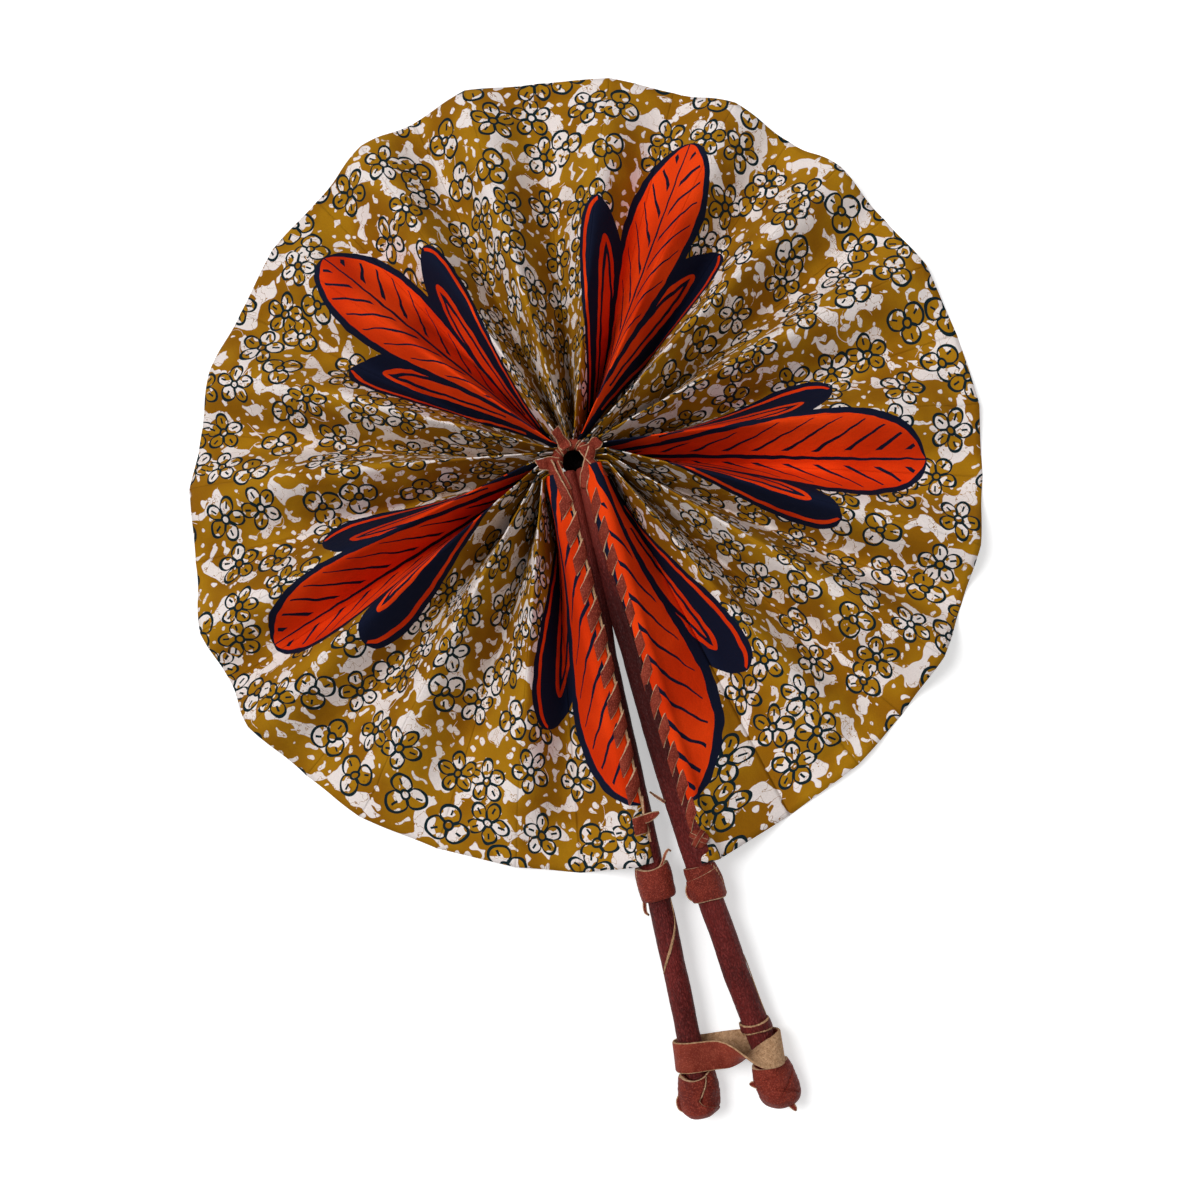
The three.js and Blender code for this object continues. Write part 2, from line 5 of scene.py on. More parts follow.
import bmesh
import bpy
from mathutils import Matrix, Vector, noise
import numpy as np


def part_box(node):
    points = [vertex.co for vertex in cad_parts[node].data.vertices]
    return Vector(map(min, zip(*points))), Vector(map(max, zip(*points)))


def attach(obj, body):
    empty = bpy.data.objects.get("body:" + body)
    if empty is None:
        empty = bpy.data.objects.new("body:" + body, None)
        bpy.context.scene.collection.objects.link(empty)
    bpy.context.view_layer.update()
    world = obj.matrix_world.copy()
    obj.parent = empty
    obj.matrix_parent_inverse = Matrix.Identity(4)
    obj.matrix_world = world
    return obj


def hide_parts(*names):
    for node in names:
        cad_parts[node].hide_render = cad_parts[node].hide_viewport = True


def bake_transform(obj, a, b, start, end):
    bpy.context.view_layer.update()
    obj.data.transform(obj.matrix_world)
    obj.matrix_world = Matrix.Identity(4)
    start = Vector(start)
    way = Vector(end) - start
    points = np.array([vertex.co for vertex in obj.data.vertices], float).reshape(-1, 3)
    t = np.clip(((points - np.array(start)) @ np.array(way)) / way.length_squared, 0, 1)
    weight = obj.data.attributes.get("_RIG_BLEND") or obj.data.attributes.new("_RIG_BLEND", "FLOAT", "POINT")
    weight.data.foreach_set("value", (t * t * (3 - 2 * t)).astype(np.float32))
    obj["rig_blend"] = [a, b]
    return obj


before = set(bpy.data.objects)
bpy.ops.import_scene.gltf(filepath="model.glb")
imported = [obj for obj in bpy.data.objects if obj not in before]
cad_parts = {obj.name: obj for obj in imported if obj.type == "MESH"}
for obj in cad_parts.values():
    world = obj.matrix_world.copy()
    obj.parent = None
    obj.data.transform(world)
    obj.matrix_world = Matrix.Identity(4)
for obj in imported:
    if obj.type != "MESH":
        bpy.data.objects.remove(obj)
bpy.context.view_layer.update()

# Driving dimensions in millimetres, most of them as in the part's source. Places count from the hub's
# centre on the table; "along" is the distance down a stick from the hub.
MM = 0.001
LEFT, RIGHT = -1, 1
RUNNING_GAP = 0.3

# Leaf: its creases start on an oval round the hub ring
PANELS = 36
PANEL_WIDTH = 28.14
CLOTH = 0.3
CLOTH_START, CLOTH_DEPTH = 6, 156
HUB_OVAL = (14.2, 11.3, -1.5)  # half width, half depth and the centre's y
HUB_SHARE = 0.03  # how far past the oval the cloth runs to the hub ring, as a share of its depth
VALLEY_HEIGHT = CLOTH / 2 + 0.1
PANEL_COLUMNS, PANEL_ROWS, HUB_ROWS = 16, 60, 4

# Hub ring
RING_RADIUS, RING_EDGE, RING_OUTER = 6.5, 7.9, 8.2
RING_RIDGE, RING_VALLEY = 23.8, 13
HUB_HEIGHT = 22
HUB_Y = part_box("hub_thong")[1].y / MM - RING_OUTER

# Sticks: they part and bend sideways on their way, and slope down to the knobs
HUB_SPACING = 8.9
SPREAD, SIDE_BEND, BOW_LENGTH = 19.2, 2.2, 243
KNOB_HEIGHT, SLOPE_LENGTH = 7, 252
SLOPE = math.atan((HUB_HEIGHT - KNOB_HEIGHT) / SLOPE_LENGTH)
STICK_TOP = 4
LACED_RADIUS = 4.2
FIN_EDGE, FIN_HALF = 6.5, 0.95
FIN_TILTED = 90  # the fin has its last tilt from here on
KNOB_LENGTH, KNOB_RADIUS, KNOB_WALL = 18, 8.2, 1.3
NECK_INSET = 4.4  # the sleeve ends this far inside the knob's tip
# A stick's tilt is its fin's, in degrees at the hub and from FIN_TILTED on; its lap is where its sleeve's
# edge stands up, in radians round the stick
STICKS = {
    LEFT: dict(name="left", length=261, neck=4.6, collar=162, tilt=(42, 60), lap=(0.68, 1.0)),
    RIGHT: dict(name="right", length=264.5, neck=5.1, collar=167, tilt=(64, 38), lap=(0.5, 0.76)),
}

# Lacing
LACE_START, LACE_WIDTH, LACE_PITCH, LACE_TURNS = 9, 7, 11.5, 12
LACE_OUTER = 7.2
LAST_WRAP = LACE_START + LACE_TURNS * LACE_PITCH

# The right sleeve's top spreads over the cloth: how far out at the hub, half way, at the knot and at the
# collar, and how high it lies and falls outwards
COVER_START, COVER_MIDDLE, COVER_KNOT, COVER_END = 3.2, 5.9, 7.2, 5.0
COVER_LIFT, COVER_FALL = 3.75, 0.52

# Strap and tie
STRAP_WIDTH, STRAP_THICKNESS, STRAP_CLEARANCE = 12, 1.2, 1.1
STRAP_DROP = 3.5  # the strap hangs this much further down the right stick
TIE_WIDTH = 4.4

# Each ridge's turn at the rim from its even place, in degrees, and how far it reaches
RIDGES = [
    (0, 165), (-1.2, 163.2), (2.6, 166.7), (2.7, 169.3), (-1.7, 168.2), (0, 162.4), (-1.6, 160.4),
    (0, 161.7), (0.5, 165.9), (-2, 170), (-0.5, 167.7), (-1, 165.3), (-2.4, 163.3), (-3.3, 164.7),
    (-1.3, 164.4), (-0.2, 164.3), (-3.2, 165), (-4.1, 164.4), (0, 165),
]


def smooth(x, low=0.0, high=1.0):
    t = min(max((x - low) / (high - low), 0), 1)
    return t * t * (3 - 2 * t)


def mix(a, b, t):
    return a + (b - a) * t


def place(x, y, z):
    return Vector((x, y + HUB_Y, z)) * MM


def bow(side, along):
    t = along / BOW_LENGTH
    return side * SPREAD / 2 * t * t - SIDE_BEND * sin(pi * min(t, 1))


def on_stick(side, x, along, z):
    """A point beside a stick's axis, which bows sideways and slopes down to the knob."""
    cs, sn = cos(SLOPE), sin(SLOPE)
    return Vector((
        side * HUB_SPACING / 2 + x + bow(side, along),
        -along * cs - z * sn,
        HUB_HEIGHT - along * sn + z * cs,
    ))


def fin_frame(side, along):
    """How much a stick's section has grown at a place along it, and how far its fin is tilted."""
    stick = STICKS[side]
    growth = mix(1, stick["neck"] / LACED_RADIUS, smooth(along, 0, stick["collar"]))
    return growth, math.radians(mix(*stick["tilt"], smooth(along, 0, FIN_TILTED)))


def beside_fin(side, out, along, up):
    """A point in the frame of the laced edge, which turns along the stick."""
    growth, tilt = fin_frame(side, along)
    out, up = out * growth, up * growth
    x = side * (out * cos(tilt) - up * sin(tilt))
    return on_stick(side, x, along, out * sin(tilt) + up * cos(tilt))


def round_hub(radius, turn, z=0.0):
    return radius * cos(turn), radius * sin(turn), z


def round_stick(side, radius, turn, along):
    """A point round a stick: turn 0 is its outer side and a quarter turn its top."""
    return on_stick(side, side * radius * cos(turn), along, radius * sin(turn))


# Materials: expressions on sockets add their Math nodes
class Value:
    def __init__(self, finish, socket):
        self.finish = finish
        self.socket = socket

    def math(self, operation, *others):
        inputs = {i: o for i, o in enumerate((self, *others))}
        return self.finish.node("Math", {"operation": operation}, inputs)[0]

    __add__ = __radd__ = partialmethod(math, "ADD")
    __mul__ = __rmul__ = partialmethod(math, "MULTIPLY")
    __sub__ = partialmethod(math, "SUBTRACT")
    __truediv__ = partialmethod(math, "DIVIDE")
    __pow__ = partialmethod(math, "POWER")
    __gt__ = partialmethod(math, "GREATER_THAN")
    __lt__ = partialmethod(math, "LESS_THAN")
    __abs__ = partialmethod(math, "ABSOLUTE")
    lowest = partialmethod(math, "MINIMUM")
    highest = partialmethod(math, "MAXIMUM")
    sine = partialmethod(math, "SINE")

    def __rsub__(self, other):
        return self.finish.number(other) - self

    def __rtruediv__(self, other):
        return self.finish.number(other) / self

    def wrap(self, period):
        """The distance from the nearest multiple of a period."""
        return self.math("WRAP", period * 0.5, period * -0.5)

    def between(self, low, high):
        """A soft step from 0 to 1 between two numbers."""
        settings = {"interpolation_type": "SMOOTHSTEP"}
        return self.finish.node("MapRange", settings, {"Value": self, 1: low, 2: high})[0]


class Finish:
    """A material or world under construction."""

    def __init__(self, name, kind=bpy.data.materials):
        self.made = kind.new(name)
        self.made.use_nodes = True
        self.tree = self.made.node_tree
        self.tree.nodes.clear()

    def node(self, kind, settings=(), inputs=()):
        made = self.tree.nodes.new("ShaderNode" + kind)
        for key, value in dict(settings).items():
            setattr(made, key, value)
        for key, value in dict(inputs).items():
            if isinstance(value, Value):
                self.tree.links.new(value.socket, made.inputs[key])
            elif value is not None:
                made.inputs[key].default_value = value
        return [Value(self, s) for s in made.outputs if s.enabled]

    def number(self, value):
        made = self.tree.nodes.new("ShaderNodeValue")
        made.outputs[0].default_value = value
        return Value(self, made.outputs[0])

    def colour(self, factor, a, b):
        """One colour turning into another as the factor goes from 0 to 1."""
        inputs = {"Factor": factor, 6: as_colour(a), 7: as_colour(b)}
        return self.node("Mix", {"data_type": "RGBA"}, inputs)[0]

    def split(self, vector):
        return self.node("SeparateXYZ", (), {0: vector})

    def object_point(self):
        return self.node("TexCoord")[3]

    def noise(self, vector, scale, detail=2.0, rough=0.5, flat=False):
        settings = {"noise_dimensions": "2D" if flat else "3D"}
        inputs = {"Vector": vector, "Scale": scale, "Detail": detail, "Roughness": rough}
        return self.node("TexNoise", settings, inputs)[0]

    def bump(self, height, distance, strength=1.0, below=None):
        inputs = {"Height": height, "Distance": distance, "Strength": strength, "Normal": below}
        return self.node("Bump", (), inputs)[0]

    def surface(self, base, roughness, normal=None, **plain):
        inputs = {"Base Color": as_colour(base), "Roughness": roughness, "Normal": normal}
        inputs.update({key.replace("_", " "): value for key, value in plain.items()})
        shader = self.node("BsdfPrincipled", (), inputs)[0]
        self.node("OutputMaterial", (), {"Surface": shader})
        return self.made


def as_colour(value):
    """A written colour such as "A8741C" as linear numbers; a socket stays as it is."""
    if not isinstance(value, str):
        return value
    steps = [int(value[i:i + 2], 16) / 255 for i in (0, 2, 4)]
    return (*[s / 12.92 if s <= 0.04045 else ((s + 0.055) / 1.055) ** 2.4 for s in steps], 1)


# The printed cotton, drawn in metres of flat cloth: u along the strip, v from the hub edge
MUSTARD, MUSTARD_DEEP, WHITE = "A9770F", "925F08", "EFE4E0"
INK, NAVY, ORANGE, ORANGE_DEEP = "10242A", "10162C", "F2430A", "D63103"
GROUP = PANELS * PANEL_WIDTH * MM / 5


def petal(across, along, base, tip, half, fullest=1.0):
    """How far inside a blunt petal a point is, in metres."""
    t = ((along - base) / (tip - base)).highest(0.0).lowest(1.0)
    beyond = (along - tip).highest(base - along).highest(0.0) * 3
    return (t ** fullest * pi).sine().highest(0.0) ** 0.5 * half - abs(across) - beyond


def rosettes(f, shift, ground, cracks):
    """Line rosettes on an uneven grid, with three or five petals each."""
    cell, line, heart = 0.0202, 0.00062, 0.0017
    grid = f.node("VectorMath", {"operation": "SCALE"}, {0: shift, 3: 1 / cell})[0]
    spot = {"voronoi_dimensions": "2D", "feature": "F1"}
    scatter = {"Vector": grid, "Scale": 1, "Randomness": 0.6}
    _, chance, centre = f.node("TexVoronoi", spot, scatter)[:3]
    away = f.node("VectorMath", {"operation": "SUBTRACT"}, {0: grid, 1: centre})[0]
    dx, dy, _ = f.split(away)
    pick, turn, pale = f.split(chance)
    petals = (pick > 0.42) * 2 + 3
    distance = (dx * dx + dy * dy).math("SQRT") * cell
    angle = dy.math("ARCTAN2", dx) + turn * 6.28  # each rosette has a turn of its own
    lobes = abs((angle * petals * 0.5).math("COSINE"))
    reach = 0.0036 + lobes ** 0.8 * 0.0046 + pick * 0.0008
    period = (2 * pi) / petals
    rib = abs(angle.wrap(period))
    ribs = (rib * distance < line * 0.7) * (distance < reach * 0.8) * (distance > reach * 0.5)
    between_petals = abs((angle + period * 0.5).wrap(period)) * distance < line
    spokes = between_petals * (distance < reach) * (distance > 0.0016)
    outline = abs(distance - reach) < line
    ring = abs(distance - heart) < line * 0.8
    inside = (distance < reach) * (distance > heart)
    blush = f.noise(shift, 170, 1.0, flat=True) + pale * 0.14
    ground = f.colour(inside * (blush > 0.6) * cracks, ground, WHITE)
    ground = f.colour(inside * (blush < 0.55), ground, MUSTARD)
    return f.colour(outline.highest(ribs).highest(spokes).highest(ring), ground, INK)


def palmettes(f, flat, cloth, u, v):
    """A tall orange petal between two leaning navy ones, five times round the leaf."""
    across = u.wrap(GROUP)
    rim = 0.0036  # the navy edge of the orange petal
    lean = abs(across) - 0.011 - v * 0.3
    low = petal(lean, v, -0.02, 0.106, 0.018, 1.9)
    tall = petal(across, v, -0.02, 0.14, 0.0262, 2.0)
    flame = petal(lean + 0.0035, v, -0.01, 0.092, 0.0074, 1.6)
    warm = f.noise(flat, 28, 2.0, flat=True).between(0.3, 0.7)
    orange = f.colour(warm, ORANGE_DEEP, ORANGE)
    cloth = f.colour(low > 0, cloth, NAVY)
    cloth = f.colour(flame > 0, cloth, orange)
    cloth = f.colour((abs(flame - 0.0034) < 0.0009) * (v > 0.03), cloth, NAVY)
    cloth = f.colour((abs(low - 0.0041) < 0.0011) * (lean > 0) * (v > 0.02), cloth, orange)
    cloth = f.colour(tall > 0, cloth, NAVY)
    cloth = f.colour(tall > rim, cloth, orange)
    rib = abs(across) < 0.0019 - v * 0.011
    slant = (v - abs(across) * 1.15 - across * across * 14).wrap(0.0128)
    veins = (abs(slant) < 0.00165 - abs(across) * 0.06) * (tall > 0.0058) * (abs(across) > 0.0036)
    return f.colour(rib.highest(veins) * (tall > rim) * (v > 0.018), cloth, NAVY)


def cotton_finish():
    f = Finish("printed_cotton")
    flat = f.node("UVMap", {"uv_map": "cloth"})[0]
    # The drawing hand's unevenness
    waver = {"Vector": flat, "Scale": 110, "Detail": 1}
    wobble = f.node("TexNoise", {"noise_dimensions": "2D"}, waver)[1]
    moved = {0: wobble, 1: (0.0018, 0.0018, 0), 2: flat}
    shift = f.node("VectorMath", {"operation": "MULTIPLY_ADD"}, moved)[0]
    u, v, _ = f.split(shift)

    # Ground: white drops and splashes on mustard, and the streaks where the wax has cracked
    blotch = f.noise(flat, 112, 0.5, flat=True)
    ragged = f.noise(flat, 420, 2.0, 0.6, flat=True) - 0.5
    crack = abs(f.noise(flat, 120, 3.0, 0.6, flat=True) - 0.5).between(0.003, 0.009)
    drops = (blotch + ragged * 0.035).between(0.592, 0.602)
    splash = f.noise(flat, 300, 0.0, flat=True).between(0.71, 0.72)
    streak = abs(f.noise(flat, 48, 1.0, flat=True) - 0.5).between(0.004, 0.0025) * (blotch > 0.5)
    bare = drops.highest(splash).highest(streak) * crack
    shade = f.noise(flat, 35, 2.0, flat=True).between(0.35, 0.65)
    ground = f.colour(bare, f.colour(shade, MUSTARD_DEEP, MUSTARD), WHITE)
    cloth = palmettes(f, flat, rosettes(f, shift, ground, crack), u, v)

    threads = f.noise(f.object_point(), 1700, 1.0)
    creases = f.noise(f.object_point(), 150, 3.0, 0.55)
    normal = f.bump(threads, 0.00012, 0.5, f.bump(creases, 0.0011, 0.5))
    cloth = f.colour(threads.between(0.2, 0.8) * 0.1, cloth, "201810")
    return f.surface(cloth, 0.9, normal, Specular_IOR_Level=0.08)


def leather_finish(name, deep, main, worn, pale=("B08A68", "D6B08E"), grain=1.0, along=1.0,
                   hub_to_rim_tone=False):
    """Leather with pores and rubbed high spots. The mesh says where a cut edge or the flesh side shows."""
    f = Finish(name)
    point = f.node("Mapping", (), {"Vector": f.object_point(), "Scale": (1, along, 1)})[0]
    clouds = f.noise(point, 60, 3.0, 0.6).between(0.3, 0.7)
    streaks = f.noise(point, 240, 3.0, 0.65).between(0.35, 0.75)
    fleck = f.noise(point, 1500, 1.0, 0.7)
    cells = {"Vector": point, "Scale": 1150}
    pores = f.node("TexVoronoi", {"feature": "DISTANCE_TO_EDGE"}, cells)[0]
    pits = pores.between(0.0, 0.24)
    skin = f.colour(clouds, deep, main)
    skin = f.colour(streaks * 0.25, skin, worn)
    skin = f.colour((1 - pits) * 0.5 * grain, skin, deep)
    skin = f.colour(fleck.between(0.5, 0.7) * 0.5 * grain, skin, worn)
    if hub_to_rim_tone:
        # The sleeves are lighter at the hub and darkest half way to the rim
        out = HUB_Y * MM - f.split(f.object_point())[1]
        skin = f.colour((1 - out.between(0.008, 0.055)) * 0.6, skin, "983E30")
        dark = out.between(0.03, 0.075) * (1 - out.between(0.105, 0.165))
        skin = f.colour(dark * 0.8, skin, "2A0706")
    cut = f.node("Attribute", {"attribute_name": "pale"})[2]
    fibre = f.noise(f.object_point(), 800, 3.0, 0.7)
    flesh = f.colour(fibre.between(0.3, 0.7), *pale)
    skin = f.colour((cut * 1.25 + (fibre - 0.5) * 0.5).between(0.45, 0.8), skin, flesh)
    wrinkles = f.noise(point, 330, 4.0, 0.6)
    normal = f.bump(pits, 0.00026 * grain, 0.7, f.bump(wrinkles, 0.0009 * grain, 0.6))
    dull = (streaks * 0.14 + 0.52 + cut * 0.3 - pits * 0.05).lowest(1.0)
    return f.surface(skin, dull, normal, Specular_IOR_Level=0.14)


def wood_finish():
    f = Finish("turned_wood")
    point = f.object_point()
    stretched = f.node("Mapping", (), {"Vector": point, "Scale": (1, 0.06, 1)})[0]
    rings = f.noise(stretched, 900, 3.0, 0.6)
    wood = f.colour(rings.between(0.35, 0.65), "A9804E", "CFA772")
    return f.surface(wood, 0.7, f.bump(rings, 0.0002, 0.5))


COTTON = cotton_finish()
SKIN = leather_finish("sleeve_leather", "420F0E", "6A201D", "863430", ("A17A58", "CDA47E"), grain=1.1,
                      along=0.45, hub_to_rim_tone=True)
THONG = leather_finish("thong_leather", "6A2014", "963B29", "B25540")
CAP = leather_finish("cap_leather", "621D15", "8E3426", "A94D3A", grain=1.2)
BELT = leather_finish("strap_leather", "742719", "A04330", "B35C46", ("A37B57", "CEA580"), grain=0.8)
# Near-black finish for the cup under the hub ring: painted shade
HUB_SHADE_FINISH = leather_finish("hub_painted_shade", "120808", "1C0D0C", "241210")
WOOD = wood_finish()


# Meshes
def added(name, data):
    obj = bpy.data.objects.new(name, data)
    bpy.context.scene.collection.objects.link(obj)
    return obj


def lofted(name, around, along, locate, material, body, replaced=(), caps=True):
    """A grid that locate places point by point, closed where its sides meet and capped."""
    bm = bmesh.new()
    bmesh.ops.create_grid(bm, x_segments=around, y_segments=along, size=0.5)
    cut = bm.verts.layers.float.new("pale")
    for vert in bm.verts:
        point, vert[cut] = locate(vert.co.x + 0.5, vert.co.y + 0.5)
        vert.co = place(*point)
    bmesh.ops.remove_doubles(bm, verts=bm.verts, dist=1e-6)
    if caps:
        bmesh.ops.holes_fill(bm, edges=[e for e in bm.edges if e.is_boundary])
    bmesh.ops.recalc_face_normals(bm, faces=bm.faces)
    finished(bm, name, material, body, replaced)


def finished(bm, name, material, body, replaced=(), thick=0.0):
    """The piece of a mesh, on its body; a thick one gets its thickness, in millimetres, to both sides."""
    mesh = bpy.data.meshes.new(name)
    bm.to_mesh(mesh)
    bm.free()
    mesh.materials.append(material)
    mesh.shade_smooth()
    obj = added(name, mesh)
    if thick:
        shell = obj.modifiers.new("thickness", "SOLIDIFY")
        shell.thickness, shell.offset = thick * MM, 0
    if body:
        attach(obj, body)
    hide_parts(*replaced)
    return obj


def soft_noise(x, y, z=0.0):
    return noise.noise(Vector((x, y, z)))


# Leaf: u runs along the creases, from the oval at 0 to the rim at 1, and v across a panel
def edge_along(side, u):
    return mix(LACE_START, STICKS[side]["collar"] - 0.8, u)


def stick_edge(side, u):
    """The line where an end panel turns on its stick's fin."""
    return beside_fin(side, 5.95, edge_along(side, u), 0)


RIM_EDGE = math.atan2(-stick_edge(LEFT, 1).x, -stick_edge(LEFT, 1).y)
RIM_STEP = (2 * pi - 2 * RIM_EDGE) / PANELS
FIRST_PLEAT = -beside_fin(LEFT, LACE_OUTER, LACE_START, -3.0).x + 0.6
OVAL_START = math.acos(FIRST_PLEAT / HUB_OVAL[0])
SIDE_OF = {0: LEFT, PANELS: RIGHT}
# An end panel's section beside the fin, as out and up, and the share of its width at each place
EDGE_RISES = [(3.2, 3.15), (5, 2.3), (6.9, 1.25), (8.5, -0.2), (LACE_OUTER + 0.4, -3.2)]
EDGE_SHARES = [0, 0.07, 0.15, 0.24, 0.34, 1]
HELD_SHARE = 0.25  # an end panel's first quarter stays with its stick


def rim_of(k):
    """A crease's turn and reach at the rim: valleys lie midway between their ridges."""
    if k % 2 == 0:
        turn, reach = RIDGES[k // 2]
        return pi + RIM_EDGE + k * RIM_STEP + math.radians(turn), reach
    (a, ra), (b, rb) = rim_of(k - 1), rim_of(k + 1)
    return (a + b) / 2, (ra + rb) / 2 - 0.6


def crease_plan(k, u):
    """A crease in plan; below u = 0 it runs on to the hub ring."""
    if k in SIDE_OF:
        return stick_edge(SIDE_OF[k], u)
    share = (k - 1) / (PANELS - 2)
    turn = pi + OVAL_START - share * (pi + 2 * OVAL_START)
    rim, reach = rim_of(k)
    start = Vector((HUB_OVAL[0] * cos(turn), HUB_OVAL[2] + HUB_OVAL[1] * sin(turn), 0))
    if u < 0:
        ring = math.radians(mix(203, -23, share))
        return start.lerp(Vector(round_hub(RING_EDGE, ring)), -u / HUB_SHARE)
    return start.lerp(Vector((reach * sin(rim), reach * cos(rim), 0)), u)


def crease_point(k, u):
    point = crease_plan(k, u)
    if k in SIDE_OF:
        return point
    ridge = k % 2 == 0
    if u < 0:
        at_ring = RING_RIDGE if ridge else RING_VALLEY
        point.z = mix(crease_point(k, 0).z, at_ring, smooth(-u / HUB_SHARE))
        return point
    point.z = VALLEY_HEIGHT
    if ridge:
        # As high as the panels' width allows between two valleys, and never flat
        gap = crease_plan(k + 1, u) - crease_plan(k - 1, u)
        gap.z = 0
        least = 3.4 + 1.6 * soft_noise(k, 3.3)
        point.z += math.sqrt(max(PANEL_WIDTH ** 2 - (gap.length / 2) ** 2, least ** 2))
    return point


def ramp(v, soft):
    """From 0 to 1 with a rounded start and end."""
    slope = 1 / (1 - soft)
    if v < soft:
        return slope * v * v / (2 * soft)
    if v > 1 - soft:
        return 1 - slope * (1 - v) ** 2 / (2 * soft)
    return slope * (v - soft / 2)


def through(points, knots, t):
    """A smooth line through points at given shares of the way."""
    i = max(n for n in range(len(knots) - 1) if n == 0 or t >= knots[n])

    def tangent(n):
        a, b = max(n - 1, 0), min(n + 1, len(knots) - 1)
        return (points[b] - points[a]) / (knots[b] - knots[a])

    step = knots[i + 1] - knots[i]
    s = (t - knots[i]) / step
    return (points[i] * (2 * s ** 3 - 3 * s * s + 1) + tangent(i) * step * (s ** 3 - 2 * s * s + s)
            + points[i + 1] * (3 * s * s - 2 * s ** 3) + tangent(i + 1) * step * (s ** 3 - s * s))


def line_through(points):
    """A smooth line through points that are an even share of the way apart."""
    knots = [i / (len(points) - 1) for i in range(len(points))]
    return lambda t: through(points, knots, t)


def end_panel_point(side, u, share):
    """The end panels lie on the laced edge, pass through the lacing and drop to the first valley."""
    along = edge_along(side, u)
    foot = crease_point(1 if side == LEFT else PANELS - 1, u)
    line = [beside_fin(side, out, along, up) for out, up in EDGE_RISES] + [foot]
    return through(line, EDGE_SHARES, share)


def panel_point(k, u, v):
    if k in (1, PANELS):
        side, share = (LEFT, v) if k == 1 else (RIGHT, 1 - v)
        return end_panel_point(side, u, share)
    low, high = crease_point(k - 1, u), crease_point(k, u)
    point = low.lerp(high, v)
    soft = 0.05 + 0.42 * smooth(u, 0.15, 1.0)
    point.z = mix(low.z, high.z, ramp(v, soft))
    # Soft wrinkles between the creases
    swell = sin(pi * v) * smooth(u, 0.05, 0.5)
    strip = (k - 1 + v) * PANEL_WIDTH
    point.z += swell * 1.1 * soft_noise(strip / 26, u * 160 / 34, 1.7)
    aside = (high - low).normalized().cross(Vector((0, 0, 1)))
    return point + aside * swell * 0.7 * soft_noise(strip / 30, u * 5, 9.2)


def body_of_crease(k):
    return {0: "left_stick", PANELS: "right_stick"}.get(k, f"crease_{k:02d}")


def depth_of(row):
    """How far along its creases a row of the panel's grid lies: the first rows lead to the hub ring."""
    near = HUB_ROWS / PANEL_ROWS
    return -HUB_SHARE * (1 - row / near) if row < near else (row - near) / (1 - near)


def leaf_panel(k):
    bm = bmesh.new()
    bmesh.ops.create_grid(bm, x_segments=PANEL_COLUMNS, y_segments=PANEL_ROWS, size=0.5)
    flat = bm.loops.layers.uv.new("cloth")
    share = bm.verts.layers.float.new("share")
    spots = {}
    for vert in bm.verts:
        v, u = vert.co.x + 0.5, depth_of(vert.co.y + 0.5)
        v -= 0.07 * sin(2 * pi * v)  # columns closer together beside the creases
        spots[vert] = (v, u)
        vert[share] = v
    for face in bm.faces:
        for loop in face.loops:
            v, u = spots[loop.vert]
            loop[flat].uv = ((k - 1 + v) * PANEL_WIDTH * MM, (CLOTH_START + CLOTH_DEPTH * u) * MM)
    for vert, (v, u) in spots.items():
        vert.co = place(*panel_point(k, u, v))
    replaced = [f"leaf_panel_{k:02d}"]
    panel = finished(bm, f"printed_panel_{k:02d}", COTTON, None, replaced, CLOTH)
    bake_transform(panel, body_of_crease(k), body_of_crease(k - 1), start=(0, 0, 0), end=(1, 0, 0))
    # The blend follows the panel's own width, which leans in the scene
    follow = panel.data.attributes["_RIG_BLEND"].data
    loose = 1 - HELD_SHARE
    for i, item in enumerate(panel.data.attributes["share"].data):
        v = item.value
        held = {1: max(v - HELD_SHARE, 0) / loose, PANELS: min(v / loose, 1)}.get(k, v)
        follow[i].value = 1 - held


# Sticks
def round_noise(turn, along, seed, scale=1.2):
    """Noise that joins up round a stick."""
    return soft_noise(scale * cos(turn) + seed, scale * sin(turn), along)


def half_gap(along):
    """Half the distance between the two sticks' axes."""
    return HUB_SPACING / 2 + SPREAD / 2 * (along / BOW_LENGTH) ** 2


def cover(side, along):
    """How far out the top of a sleeve lies over the cloth: the right one spreads towards the rim."""
    if side == LEFT:
        return COVER_START
    spread = mix(COVER_START, COVER_MIDDLE, smooth(along, 20, 115))
    spread = mix(spread, COVER_KNOT, smooth(along, 146, 156))
    return mix(spread, COVER_END, smooth(along, 162, 167))


def cover_top(out):
    """Height of a sleeve's top over the cloth."""
    return COVER_LIFT - COVER_FALL * (out - COVER_START)


def covered_radius(radius, turn, along, reach, collar):
    """A sleeve's radius where its top spreads over the cloth, and narrows again to slip under the collar."""
    slope = sin(turn) + COVER_FALL * cos(turn)
    over = min(cover_top(0) / slope, reach / cos(turn))
    over = mix(radius, over, smooth(turn, 1.2, 0.8) * smooth(reach, COVER_START, COVER_START + 1))
    over = mix(over, min(over, 4.85), smooth(along, collar - 6, collar - 1))
    return max(radius, mix(over, LACED_RADIUS, smooth(along, collar, collar + 3)))


